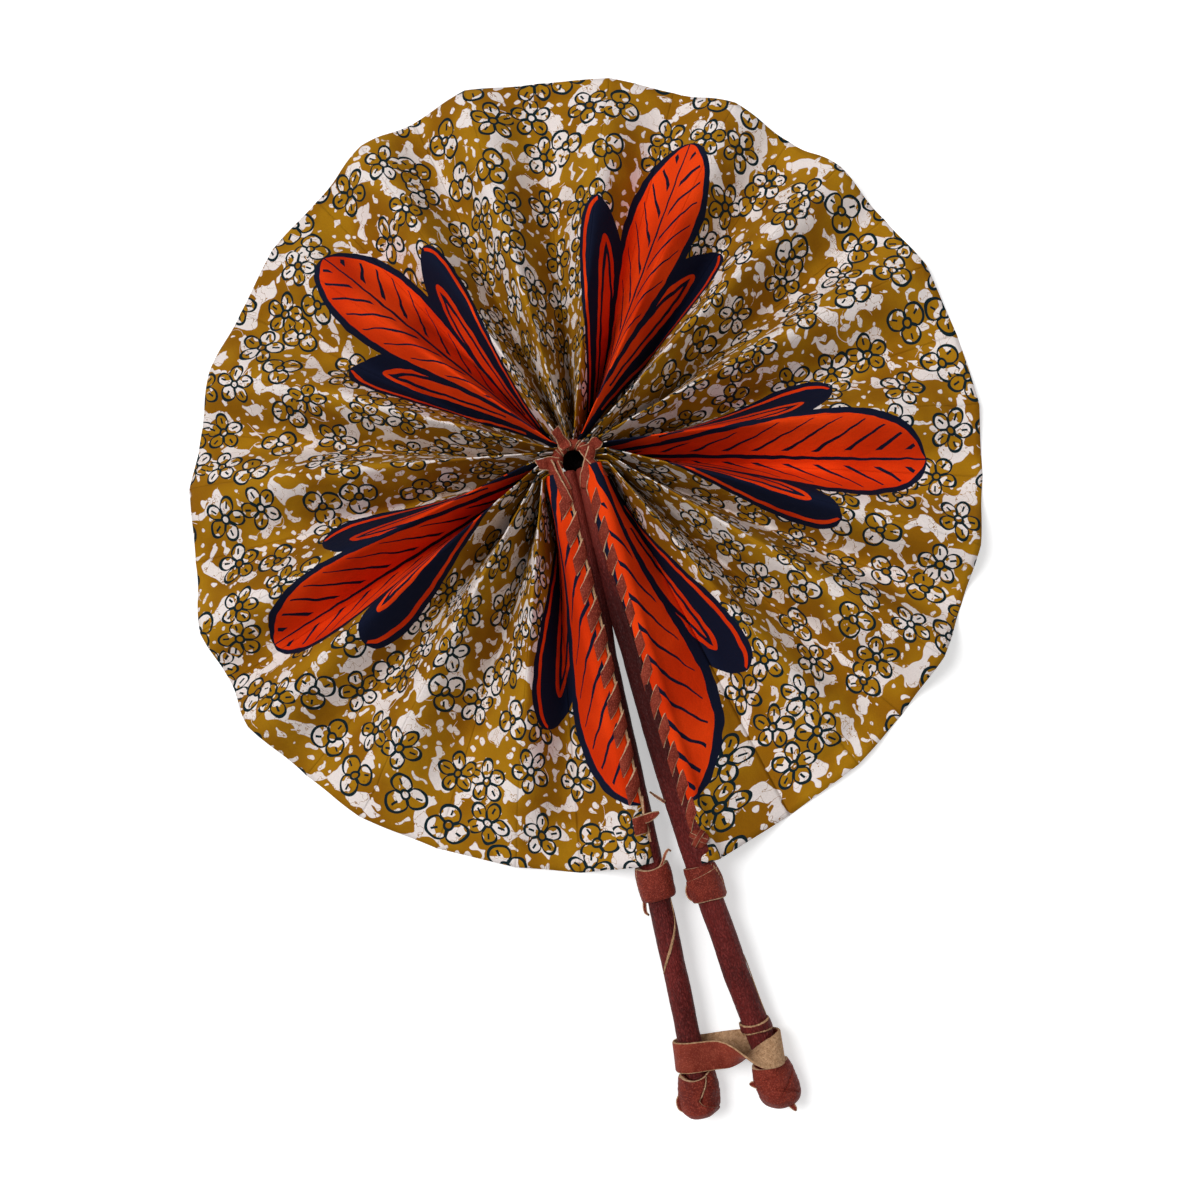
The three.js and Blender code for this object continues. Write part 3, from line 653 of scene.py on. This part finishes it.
def sleeve(side):
    stick = STICKS[side]
    name, collar = stick["name"], stick["collar"]
    lap_start, lap_end = stick["lap"]
    sag = 0.3  # the sleeves touch a little below their widest places

    def locate(a, t):
        along = mix(STICK_TOP, stick["length"] - NECK_INSET, t)
        turn = 2 * pi * a - 0.82 * sin(2 * pi * a)  # points crowd at the fin
        fin = mix(FIN_EDGE, LACED_RADIUS, smooth(along, collar - 2, collar + 2))
        radius = LACED_RADIUS
        if cos(turn) > 0:
            radius = max(radius, min(fin / cos(turn), FIN_HALF / max(abs(sin(turn)), 1e-6)))
        reach = cover(side, along)
        if reach > COVER_START and 0.15 < turn < 1.2:
            radius = covered_radius(radius, turn, along, reach, collar)
        # Near the hub the two sleeves press against each other
        growth, tilt = fin_frame(side, along)
        inward = abs((turn - pi + tilt - sag + pi) % (2 * pi) - pi)
        touch = (half_gap(along) - 0.03) / growth / cos(sag)
        radius = mix(radius, max(touch, radius), smooth(inward, 0.8, 0.15) * smooth(along, 80, 64))
        # The lap of the sleeve stands up a little beside the cloth
        laced = smooth(along, LACE_START - 2, LACE_START) * smooth(along, LAST_WRAP + 8, LAST_WRAP + 4)
        on_lap = smooth(turn, lap_start, lap_start + 0.1) * smooth(turn, lap_end + 0.2, lap_end) * laced
        radius += 0.4 * on_lap
        # Unevenness of the skin, and lumps in the neck
        radius += 0.12 * round_noise(turn, along / 7, side) + 0.07 * round_noise(turn, along / 1.8, 5, 3)
        lumps = smooth(along, collar + 14, collar + 22)
        radius += 0.42 * round_noise(turn, along / 15, side + 6, 0.8) * lumps
        if t in (0, 1):
            radius -= 0.7  # rounded ends
        cut = 1 if on_lap > 0.5 and turn < lap_end and reach < COVER_START + 0.4 else 0
        return beside_fin(side, radius * cos(turn), along, radius * sin(turn)), cut

    lofted(f"{name}_sleeve_skin", 72, 260, locate, SKIN, f"{name}_stick",
           [f"{name}_stick_sleeve"])


def sleeve_edge(side, path, widths):
    """The sleeve's wrapped edge: a strip of its flesh side that winds down the neck."""
    stick, neck = STICKS[side]["name"], STICKS[side]["neck"]
    line = line_through([Vector((along, math.radians(turn), 0)) for along, turn in path])

    def locate(a, t):
        spot = line(t)
        wide, tall, _ = ribbon_section(a, mix(*widths, sin(pi * t)), 0.4)
        turn = spot.y + 0.6 * wide / neck
        return round_stick(side, neck + 0.06 + tall, turn, spot.x + 0.8 * wide), 1

    lofted(f"{stick}_sleeve_edge", 10, 40, locate, SKIN, f"{stick}_stick")


def ribbon_section(a, width, thickness):
    """A flat thong's section: places round it, and how much of the cut edge shows there."""
    inset = 1 - 0.9 / width
    spots = [(-1, -0.5, 1), (-inset, -1, 0.35), (0, -1.04, 0), (inset, -1, 0.35), (1, -0.5, 1),
             (1, 0.5, 1), (inset, 1, 0.35), (0, 1.04, 0), (-inset, 1, 0.35), (-1, 0.5, 1)]
    x, y, cut = spots[round(a * len(spots)) % len(spots)]
    return x * width / 2, y * thickness / 2, cut


# One turn of the lacing in the fin's frame: from the top of the sleeve over the cloth, round and back.
# Two thirds of its way along the stick is made on top. The right thong winds the other way.
WRAPS = {
    LEFT: [(2.2, 3.85), (4.2, 3.25), (5.9, 2.2), (7.2, 0.8), (7.2, -0.8), (6.1, -1.9), (4.7, -2.1),
           (3.4, -0.6), (2.2, 2.0)],
    RIGHT: [(3.1, 3.35), (4.6, 2.8), (6.1, 1.85), (7.2, 0.7), (7.2, -0.8), (6.1, -1.9), (4.9, -2.1),
            (3.7, -0.8), (2.9, 1.6)],
}
WRAP_SHARES = [0, 0.15, 0.3, 0.44, 0.54, 0.66, 0.76, 0.88, 0.95, 1]
WRAP_CENTRE = Vector((4.4, 0.6, 0))
TOP_SHARE, TOP_ADVANCE = 0.46, 0.66


def wrap_loop(side, along):
    """The turn's places; on the right they start further out as the sleeve spreads."""
    points = WRAPS[side]
    if side == RIGHT:
        first = points[0][0]
        start = max(cover(side, along) - 1.6, first)
        middle = mix(start, 6.2, 0.5)
        spread = smooth(start, first, 4)
        points = [(start, cover_top(start) + mix(-0.45, 0.15, spread)),
                  (middle, cover_top(middle) + mix(-0.25, 0.1, spread)), *points[2:]]
    return [Vector((out, up, 0)) for out, up in [*points, points[0]]]


def wrap_advance(share):
    """How far along the stick a left turn is, in pitches, at a share of its way round."""
    if share < TOP_SHARE:
        return share / TOP_SHARE * TOP_ADVANCE
    return TOP_ADVANCE + (share - TOP_SHARE) / (1 - TOP_SHARE) * (1 - TOP_ADVANCE)


def lacing(side):
    name = STICKS[side]["name"]

    def locate(a, t):
        turns = LACE_TURNS * t
        share = turns % 1 if t < 1 else 1.0
        whole = turns - share
        way_round = share if side == LEFT else 1 - share
        spot = through(wrap_loop(side, LACE_START + turns * LACE_PITCH), WRAP_SHARES, way_round)
        steps = wrap_advance(way_round) if side == LEFT else 1 - wrap_advance(way_round)
        if side == LEFT and whole == LACE_TURNS - 1:
            steps = mix(steps, 0.62, smooth(share, 0, 0.12))  # the last turn runs square to the stick
        width = (LACE_WIDTH + 0.3) * (0.98 + 0.14 * soft_noise(turns * 1.3, 4 * side))
        shift, out, cut = ribbon_section(a, width, 0.85)
        along = LACE_START + LACE_WIDTH / 2 + (whole + steps) * LACE_PITCH
        along += 1.3 * soft_noise(turns, 8.1, side) + shift
        outward = (spot - WRAP_CENTRE).normalized()
        spot = spot + outward * (out + 0.16 * soft_noise(turns * 5, shift * 0.4, side))
        return beside_fin(side, spot.x, along, spot.y), cut

    lofted(f"{name}_whipped_thong", 10, LACE_TURNS * 30, locate, THONG, f"{name}_stick",
           [f"{name}_edge_lacing"])


def lead_strand(side, number, width, turns, ends, radii):
    """A strand of the thong that runs from the hub ring to a stick's first wrap."""
    def locate(a, t):
        wide, tall, cut = ribbon_section(a, width * (1 + 0.12 * soft_noise(t * 5, number, side)), 0.8)
        turn = math.radians(mix(*turns, t)) + wide / 6
        radius = mix(*radii, t) + 0.5 * sin(pi * t) + tall + 0.15 * soft_noise(t * 6, wide)
        return round_stick(side, radius, turn, mix(*ends, t) - 0.3 * wide), cut

    name = STICKS[side]["name"]
    lofted(f"{name}_lead_strand_{number}", 10, 24, locate, THONG, f"{name}_stick")


def band(name, side, start, end, profile, replaced=(), dip=0.0, lean=0.0, lap_turn=0.3, hem=False,
         worn=None):
    """A leather band wound round a neck: its top edge may dip or lean, and its own end shows as a step."""
    finish, body, slot = worn or (CAP, f"{STICKS[side]['name']}_stick", "knob_leather")
    bore = STICKS[side]["neck"] + RUNNING_GAP
    ring = [(bore, 0), *profile, (bore, 1)]

    def locate(a, t):
        turn = 2 * pi * a
        radius, share = ring[round(t * (len(ring) - 1))]
        top = dip * max(sin(turn), 0) ** 2 - lean * cos(turn)
        along = mix(start + top, end + 0.35 * round_noise(turn, 2.2, side), share)
        lap = (a + lap_turn + 0.1 * share) % 1
        if radius > bore:
            radius += 0.45 * (lap - 0.5) + 0.3 * round_noise(turn, along / 4, side)
            radius += 0.16 * round_noise(turn, along, 9, 4)
        rim = 0 < share < 0.02 or (hem and 0.975 < share < 1)
        cut = 1 if bore < radius and (lap < 0.012 or rim) else 0
        return round_stick(side, radius, turn, along), cut

    lofted(name, 90, len(ring) - 1, locate, finish, body, replaced, caps=False)


# Sections of the bands, as radius and share of the width
COLLAR = [(5.95, 0.004), (6.5, 0.01), (6.75, 0.045), (6.95, 0.12), (7.1, 0.22), (7.2, 0.35), (7.2, 0.5),
          (7.15, 0.65), (7.05, 0.8), (6.9, 0.92), (6.5, 0.98), (6.1, 0.99)]
COLLAR_FIRST_TURN = [(5.7, 0.01), (6.35, 0.03), (6.5, 0.25), (6.55, 0.6), (6.4, 0.98)]
TIE = [(5.75, 0.004), (6.0, 0.01), (6.2, 0.3), (6.2, 0.7), (6.0, 0.99), (5.75, 0.996)]


def collar(side):
    """The left collar is one turn. The right one shows its first turn above the last."""
    start = STICKS[side]["collar"]
    end = start + 14
    if side == LEFT:
        band("left_wound_collar", side, start, end, COLLAR, ["left_rim_collar"], dip=1.6, lap_turn=0.95)
    else:
        band("right_collar_first_turn", side, start, start + 7, COLLAR_FIRST_TURN, lap_turn=0.9)
        band("right_wound_collar", side, start + 3.4, end, COLLAR, ["right_rim_collar"], lean=1.4,
             lap_turn=0.93, hem=True)


# Creases where the right cap's leather is gathered: where each lies between mouth and tip, how it slants,
# from and to which degree it runs, and how deep it is
CREASES = [(0.2, 0.12, 60, 140, 0.5), (0.52, -0.2, 20, 100, 0.9), (0.6, 0.35, 30, 90, 0.7),
           (0.36, 0.05, 90, 170, 0.35)]


def cap_place(side, turn, x, lift=0.0):
    """A place on a folded cap: its turn round the stick and its share of the way from mouth to tip."""
    stick = STICKS[side]
    dip = (2.3 if side == LEFT else 0.8) * max(sin(turn), 0) ** 2
    along = mix(stick["length"] - KNOB_LENGTH + dip, stick["length"], x)
    radius = mix(stick["neck"] + KNOB_WALL, KNOB_RADIUS, smooth(x, -0.25, 0.34))
    radius *= max(1 - max((x - 0.6) / 0.4, 0) ** 2.9, 0) ** (1 / 2.3)
    near = smooth(radius, 0, 6)
    degrees = math.degrees(turn)
    fold = 0.3 * cos(turn * 2 + 1.4 * x * side + side) + 0.16 * cos(turn * 5 - 3 * x)
    fold += 0.5 * round_noise(turn, along / 5, side) + 0.22 * round_noise(turn, along / 1.4, 4, 3)
    if side == LEFT:
        # The cap's outer wrap ends in two edges that meet over a small hole
        edge = mix(125, 86, smooth(x, -0.1, 0.5)) if x < 0.5 else mix(86, 170, smooth(x, 0.48, 0.92))
        away = degrees - edge
        fold -= 0.8 * smooth(away, 0, 7) * smooth(away, 110, 60) * smooth(x, 0.92, 0.84)
        fold -= 1.9 * math.exp(-((degrees - 93) / 8) ** 2 - ((x - 0.5) / 0.05) ** 2)
    else:
        for centre, slope, start, end, deep in CREASES:
            line = centre + slope * (degrees - 80) / 60
            there = smooth(degrees, start - 15, start + 10) * smooth(degrees, end + 15, end - 10)
            fold -= deep * math.exp(-((x - line) / 0.03) ** 2) * there
    point = round_stick(side, radius + (fold * near + lift), turn, along)
    point.z = max(point.z, 0)  # the caps rest on the table
    return point


def knob(side):
    name, length, neck = (STICKS[side][key] for key in ("name", "length", "neck"))
    inner = 0.1  # the share of the grid that lines the cap's bore

    def locate(a, t):
        turn = 2 * pi * a
        if t < inner:
            radius = 0.01 if t == 0 else neck + RUNNING_GAP
            mouth = length - KNOB_LENGTH + 2.3 * max(sin(turn), 0) ** 2
            return round_stick(side, radius, turn, mix(length - NECK_INSET + 1, mouth, t / inner)), 0
        s = (t - inner) / (1 - inner)
        return cap_place(side, turn, sin(s * pi / 2) ** 1.1), 1 if s < 0.02 else 0

    lofted(f"{name}_folded_cap", 144, 80, locate, CAP, f"{name}_stick",
           [f"{name}_end_knob"])


def cap_edge(number, path, width):
    """A cut edge of the left cap's wrap, a narrow raised strip."""
    line = line_through([Vector((x, math.radians(turn), 0)) for x, turn in path])

    def locate(a, t):
        spot = line(t)
        wide, tall, _ = ribbon_section(a, max(width * sin(pi * mix(0.15, 0.9, t)), 0.3), 0.7)
        x = spot.x + 0.5 * wide / KNOB_LENGTH
        return cap_place(LEFT, spot.y + 0.8 * wide / 8, x, 0.1 + tall), 1

    lofted(f"left_cap_edge_{number}", 10, 30, locate, CAP, "left_stick")


def leather_end(name, side, finish, places, width, thick):
    """A cut end of leather. Its places are a distance along a stick, a turn in degrees and a height."""
    stick, neck = STICKS[side]["name"], STICKS[side]["neck"]
    line = line_through([round_stick(side, neck + height, math.radians(turn), along)
                         for along, turn, height in places])

    def locate(a, t):
        ahead = line(min(t + 0.02, 1)) - line(max(t - 0.02, 0))
        beside = Vector((ahead.y, -ahead.x, 0)).normalized()
        taper = math.sqrt(max(1 - t ** 3, 0.02))
        wide, tall, cut = ribbon_section(a, max(width * taper, 0.8), thick)
        return line(t) + beside * wide + ahead.cross(beside).normalized() * -tall, cut

    lofted(name, 10, 24, locate, finish, f"{stick}_stick")


# Strap and tie
def strap():
    along = STICKS[LEFT]["length"] - KNOB_LENGTH - RUNNING_GAP - STRAP_WIDTH / 2
    left, right = on_stick(LEFT, 0, along, 0), on_stick(RIGHT, 0, along + STRAP_DROP, 0)
    middle, across = (left + right) / 2, (right - left).normalized()
    up = Vector((0, -cos(SLOPE), -sin(SLOPE))).cross(across).normalized()
    down = across.cross(up)
    bend = STICKS[RIGHT]["neck"] + STRAP_CLEARANCE + STRAP_THICKNESS / 2
    half = (right - left).length / 2
    run, arc = 2 * half, pi * bend
    total = 2 * (run + arc)
    join = run + 0.8 * arc  # the ends meet behind the right stick
    bulge = 3.9  # how far the twisted part stands off

    def centre_line(s):
        """Place, outward direction and twist at a distance round the loop."""
        twist = pi * smooth(s, 6, 38)
        if s < run:
            rise = bulge * smooth(s, 15, 24) * smooth(s, 38, 27) - 0.5 * smooth(s, 0, 6) * smooth(s, 18, 9)
            return Vector((s - half, bend + rise)), Vector((0, 1)), twist
        if s < run + arc:
            angle = pi / 2 - (s - run) / bend
            out = Vector((cos(angle), sin(angle)))
            spot = Vector((half, 0)) + out * (bend + bulge * smooth(s, 38, 27))
            return spot, out, twist if s < join else 0.0
        if s < 2 * run + arc:
            return Vector((half - (s - run - arc), -bend)), Vector((0, -1)), 0.0
        angle = -pi / 2 - (s - 2 * run - arc) / bend
        out = Vector((cos(angle), sin(angle)))
        return Vector((-half, 0)) + out * bend, out, 0.0

    def locate(a, t):
        distance = (join + 0.001 + t * (total - 0.002)) % total
        spot, out, twist = centre_line(distance)
        dip = 1.4 * smooth(distance, 8, 20) * smooth(distance, 36, 26)
        wide, tall, cut = ribbon_section(a, 11.4 + 0.5 * soft_noise(t * 9, 2.2), 1.1)
        outward = across * out.x + up * out.y
        face = outward * cos(twist) + down * sin(twist)
        edge = down * cos(twist) - outward * sin(twist)
        flesh = 1 if tall > 0 else cut
        ripple = 0.25 * soft_noise(distance * 0.15, wide * 0.1)
        centre = middle + across * spot.x + up * spot.y + down * dip
        return centre + face * (-tall + ripple) + edge * wide, flesh

    lofted("half_twisted_strap", 10, 170, locate, BELT, "strap", ["strap_loop"])


def tie():
    end = STICKS[LEFT]["length"] - KNOB_LENGTH - STRAP_WIDTH + 3
    band("neck_tie", RIGHT, end - TIE_WIDTH, end, TIE, ["right_tie_wrap"], dip=1.0, hem=True,
         worn=(SKIN, "strap", "strap_leather"))


# Hub leather
RING_FOOT = math.asin(-2.9 / RING_OUTER)  # the ring is open between the sticks


def hub_ring():
    def locate(a, t):
        angle = mix(RING_FOOT, pi - RING_FOOT, t)
        wide, tall, _ = ribbon_section(a, 3.4, 2.8)
        radius = RING_RADIUS + wide * (1 + 0.06 * sin(t * 34))
        return round_hub(radius, angle, HUB_HEIGHT + tall), 0

    lofted("hub_ring_core", 10, 60, locate, THONG, "crease_18", ["hub_thong"])


def hub_winding():
    """The thong wound round the hub ring, with its cut edges showing."""
    turns = 5

    def locate(a, t):
        wide, tall, cut = ribbon_section(a, 3.7 * (1 + 0.12 * soft_noise(t * 9, 3.3)), 0.8)
        spin = 2 * pi * turns * t + 0.6
        angle = mix(RING_FOOT + 0.22, pi - RING_FOOT - 0.22, t) + wide / RING_RADIUS
        angle += 0.05 * soft_noise(t * 12, 7.7)
        radius = RING_RADIUS + (2.0 + tall) * cos(spin)
        height = HUB_HEIGHT + (1.9 + tall + 0.2 * soft_noise(t * 15, wide)) * sin(spin)
        return round_hub(radius, angle, height), cut

    lofted("hub_ring_winding", 10, turns * 26, locate, THONG, "crease_18")


def hub_painted_shade_cup():
    """A near-black cup that closes the hole under the ring: painted shade standing for the deep shadow
    there.
    """
    profile = [(5.1, 21.2), (4.9, 18), (4.4, 14), (2.8, 11.5), (0.01, 10.8)]

    def locate(a, t):
        radius, height = profile[round(t * (len(profile) - 1))]
        return round_hub(radius, 2 * pi * a, height), 0

    lofted("hub_painted_shade_cup", 28, len(profile) - 1, locate, HUB_SHADE_FINISH, "crease_18", caps=False)


def hub_tab(name, body, degrees, widths, path, curl, notch):
    """A lobed tongue of the thong that lies over the nearest pleats; its path is reach and height."""
    angle = math.radians(degrees)
    out = Vector((sin(angle), cos(angle), 0))
    side = Vector((out.y, -out.x, 0))
    points = [Vector((r, 0, z)) for r, z in path]
    knots = [0, 0.3, 0.55, 0.8, 1]

    def locate(a, t):
        spot = through(points, knots, t)
        width = mix(*widths, t) * (1 + 0.15 * sin(7.4 * t + angle)) * (1 - 0.3 * t ** 12)
        wide, tall, cut = ribbon_section(a, width, 0.9)
        across = 2 * wide / width
        reach = spot.x - notch * t ** 4 * (1 - across ** 2) + 0.5 * t ** 3 * across
        lift = curl * t * t * wide / 4 + 0.25 * soft_noise(t * 4, wide * 0.5, angle)
        return out * reach + side * (wide + curl * t) + Vector((0, 0, spot.z + tall + lift)), cut

    lofted(f"{name}_tongue", 10, 30, locate, THONG, body, [name])


# Lace ends
def left_tail():
    """The cut end of the left thong, a tongue that stands out over the gap between the sticks."""
    def locate(a, t):
        width = max(3.7 * sin(pi * mix(0.3, 0.95, t)) ** 0.7, 0.8)
        wide, tall, cut = ribbon_section(a, width, 0.8)
        rise = 5.4 + 1.5 * t * t - 1.2 * (2 * wide / width) ** 2 * t * 0.5
        return on_stick(LEFT, 0.2 + 7.6 * t, LAST_WRAP - 2.9 - wide - 1.2 * t * t, rise + tall), cut

    lofted("left_thong_end", 10, 24, locate, THONG, "left_stick", ["left_lace_tail"])


def on_knot(x, y, z):
    """A place on the right thong's knot, which leans with the sleeve's edge."""
    return beside_fin(RIGHT, 6.3 + x * 0.8 + z * 0.4, LAST_WRAP + LACE_WIDTH + 2.5 + y, 2.6 + z - x * 0.35)


def right_knot():
    """A small flat knot: a folded lump with the thong's cut edges over it."""
    def lump(a, t):
        spin, lift = 2 * pi * a, mix(-0.5, 0.5, t) * pi
        size = cos(lift) * (1 + 0.12 * cos(3 * spin))
        return on_knot(3.1 * size * cos(spin), 3.6 * size * sin(spin), 1.7 * sin(lift)), 0

    lofted("right_thong_knot", 24, 14, lump, THONG, "right_stick", ["right_lace_knot"])
    strands = [((-2.9, -2.6), (2.8, 1.6), 0.35), ((2.6, -2.9), (-2.6, 2.2), 0.7)]
    for number, (start, end, bulge) in enumerate(strands, 1):
        start, end = Vector(start), Vector(end)
        aside = (end - start).normalized()

        def strand(a, t):
            wide, tall, cut = ribbon_section(a, 1.9, 0.6)
            spot = start.lerp(end, t)
            x, y = spot.x - aside.y * wide, spot.y + aside.x * wide
            z = 1.5 * math.sqrt(max(1 - (x / 3.9) ** 2 - (y / 4.4) ** 2, 0.02)) + bulge + tall
            return on_knot(x, y, z), 0.6 * cut

        lofted(f"right_knot_strand_{number}", 10, 18, strand, THONG, "right_stick")


# The cut ends and curls that stand out of the collars, the sleeves and the caps, with width and thickness
SMALL_ENDS = [
    ("left_collar_curl", LEFT, THONG,
     [(164.5, 120, 1.2), (162, 140, 1.6), (159.5, 152, 2.4), (158, 158, 3.8), (158.8, 162, 4.6)], 1.3, 0.6),
    ("left_collar_end", LEFT, CAP,
     [(174, 12, 0.8), (177, 5, 1.5), (179.5, 3, 1.6), (181, 8, 0.6)], 1.6, 0.8),
    ("right_sleeve_spur", RIGHT, SKIN,
     [(140, 150, 0.2), (138.5, 160, 1.2), (136.5, 168, 2.8), (134.6, 171, 4.2)], 1.3, 0.9),
    ("right_collar_end", RIGHT, CAP,
     [(173.5, 172, 1.4), (176, 176, 2.4), (178.5, 178, 2.2), (180, 172, 1.2)], 1.8, 0.8),
    ("left_cap_end", LEFT, CAP,
     [(250.5, 14, 3.0), (252.5, 8, 4.2), (255, 8, 4.2), (257, 12, 3.0)], 2.2, 1.2),
    ("right_cap_end", RIGHT, CAP, [(254, 158, 2.4), (253, 166, 3.8), (252.6, 170, 5.2)], 2.6, 0.8),
    ("right_cap_tip", RIGHT, CAP, [(262.5, 60, -1.8), (264.5, 48, -0.6), (266.2, 44, -0.2)], 2.4, 0.8),
]

for panel_number in range(1, PANELS + 1):
    leaf_panel(panel_number)
for stick_side in (LEFT, RIGHT):
    sleeve(stick_side)
    lacing(stick_side)
    collar(stick_side)
    knob(stick_side)
sleeve_edge(LEFT, [(176, 166), (185, 156), (192.5, 112), (199, 66), (204, 22)], (0.5, 1.2))
sleeve_edge(RIGHT, [(205, -14), (214, 6), (223, 10), (229, 2)], (0.5, 1.1))
cap_edge(1, [(0.03, 126), (0.18, 116), (0.34, 101), (0.5, 87)], 0.8)
cap_edge(2, [(0.5, 87), (0.6, 96), (0.7, 116), (0.8, 142)], 0.7)
lead_strand(LEFT, 1, 3.9, (40, 82), (-1.0, 17), (6.6, 5.5))
lead_strand(LEFT, 2, 2.6, (62, 96), (-0.5, 12), (4.2, 5.0))
lead_strand(RIGHT, 1, 3.7, (46, 124), (-2.5, 12.5), (6.4, 5.0))
lead_strand(RIGHT, 2, 3.4, (88, 36), (-2.0, 9.5), (4.8, 8.2))
strap()
tie()
hub_painted_shade_cup()
hub_ring()
hub_winding()
hub_tab("hub_tab_left", "crease_10", 270, (4.6, 6.2),
        [(5, 24.6), (7.5, 25.2), (9.8, 25.8), (12, 27), (14.4, 28.4)], 0.5, 1.8)
hub_tab("hub_tab_top", "crease_18", 346, (4.2, 4.6),
        [(4.8, 24.8), (6.8, 25.4), (8.8, 26.8), (10.8, 28.8), (13, 30.2)], -0.5, 1.2)
hub_tab("hub_tab_right", "crease_24", 72, (4.6, 5.0),
        [(5, 24.6), (7, 25), (9, 25.8), (10.8, 27.6), (12.6, 29)], 0.5, -0.8)
left_tail()
right_knot()
for small_end in SMALL_ENDS:
    leather_end(*small_end)
# The cores are wood; the other solids of the part only show where no piece replaces them
for node_name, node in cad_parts.items():
    node.data.materials.clear()
    node.data.materials.append(WOOD if node_name.endswith("core") else SKIN)


# Floor, light and camera
def floor_finish():
    f = Finish("pale_floor")
    ray = f.node("LightPath")
    seen = ray[0].highest(ray[3]).highest(ray[6])  # camera, glossy and transmission rays
    plain = f.node("BsdfDiffuse", (), {"Color": (0.8, 0.8, 0.8, 1)})[0]
    glow = f.node("Emission", (), {"Color": (1, 1, 1, 1), "Strength": seen * 0.45})[0]
    both = f.node("AddShader", (), {0: plain, 1: glow})[0]
    f.node("OutputMaterial", (), {"Surface": both})
    return f.made


def set_stage():
    mesh = bpy.data.meshes.new("floor")
    mesh.from_pydata([(-4, -4, 0), (4, -4, 0), (4, 4, 0), (-4, 4, 0)], [], [(0, 1, 2, 3)])
    mesh.materials.append(floor_finish())
    added("floor", mesh)
    # A world that is white where it is seen, and weaker as a light
    studio = Finish("studio", bpy.data.worlds)
    ray = studio.node("LightPath")
    seen = ray[0].highest(ray[6])  # camera and transmission rays
    strength = studio.node("MapRange", (), {"Value": seen, "To Min": 0.26, "To Max": 1.0})[0]
    sky = studio.node("Background", (), {"Color": (1, 1, 1, 1), "Strength": strength})[0]
    studio.node("OutputWorld", (), {"Surface": sky})
    bpy.context.scene.world = studio.made
    bpy.context.scene.view_settings.view_transform = "Standard"


def lamp(name, strength, spread, towards):
    """A soft sun that shines in a given direction."""
    data = bpy.data.lights.new(name, "SUN")
    data.energy, data.angle = strength, math.radians(spread)
    obj = added(name, data)
    obj.rotation_mode = "QUATERNION"
    obj.rotation_quaternion = Vector(towards).to_track_quat("-Z", "Y")


def set_camera():
    """The photograph's camera, fitted to it: nearly straight above and rolled."""
    photo_width, focal_length = 1200, 1582  # pixels
    turn, rise, roll = (math.radians(angle) for angle in (21.862, 81.914, -36.584))
    away = 0.635155
    back = Vector((sin(turn) * cos(rise), -cos(turn) * cos(rise), sin(rise)))
    right = Vector((cos(turn), sin(turn), 0))
    up = back.cross(right)
    across = right * cos(roll) + up * sin(roll)
    upward = up * cos(roll) - right * sin(roll)
    data = bpy.data.cameras.new("camera")
    data.sensor_width = 36
    data.lens = data.sensor_width * focal_length / photo_width
    camera = added("camera", data)
    spot = place(-4.27, -55.488, 10) + back * away
    camera.matrix_world = Matrix.Translation(spot) @ Matrix((across, upward, back)).transposed().to_4x4()
    bpy.context.scene.camera = camera


set_stage()
lamp("key", 2.1, 30, (0.5, -0.32, -1.0))
lamp("fill", 0.4, 60, (-0.6, 0.3, -1.0))
set_camera()
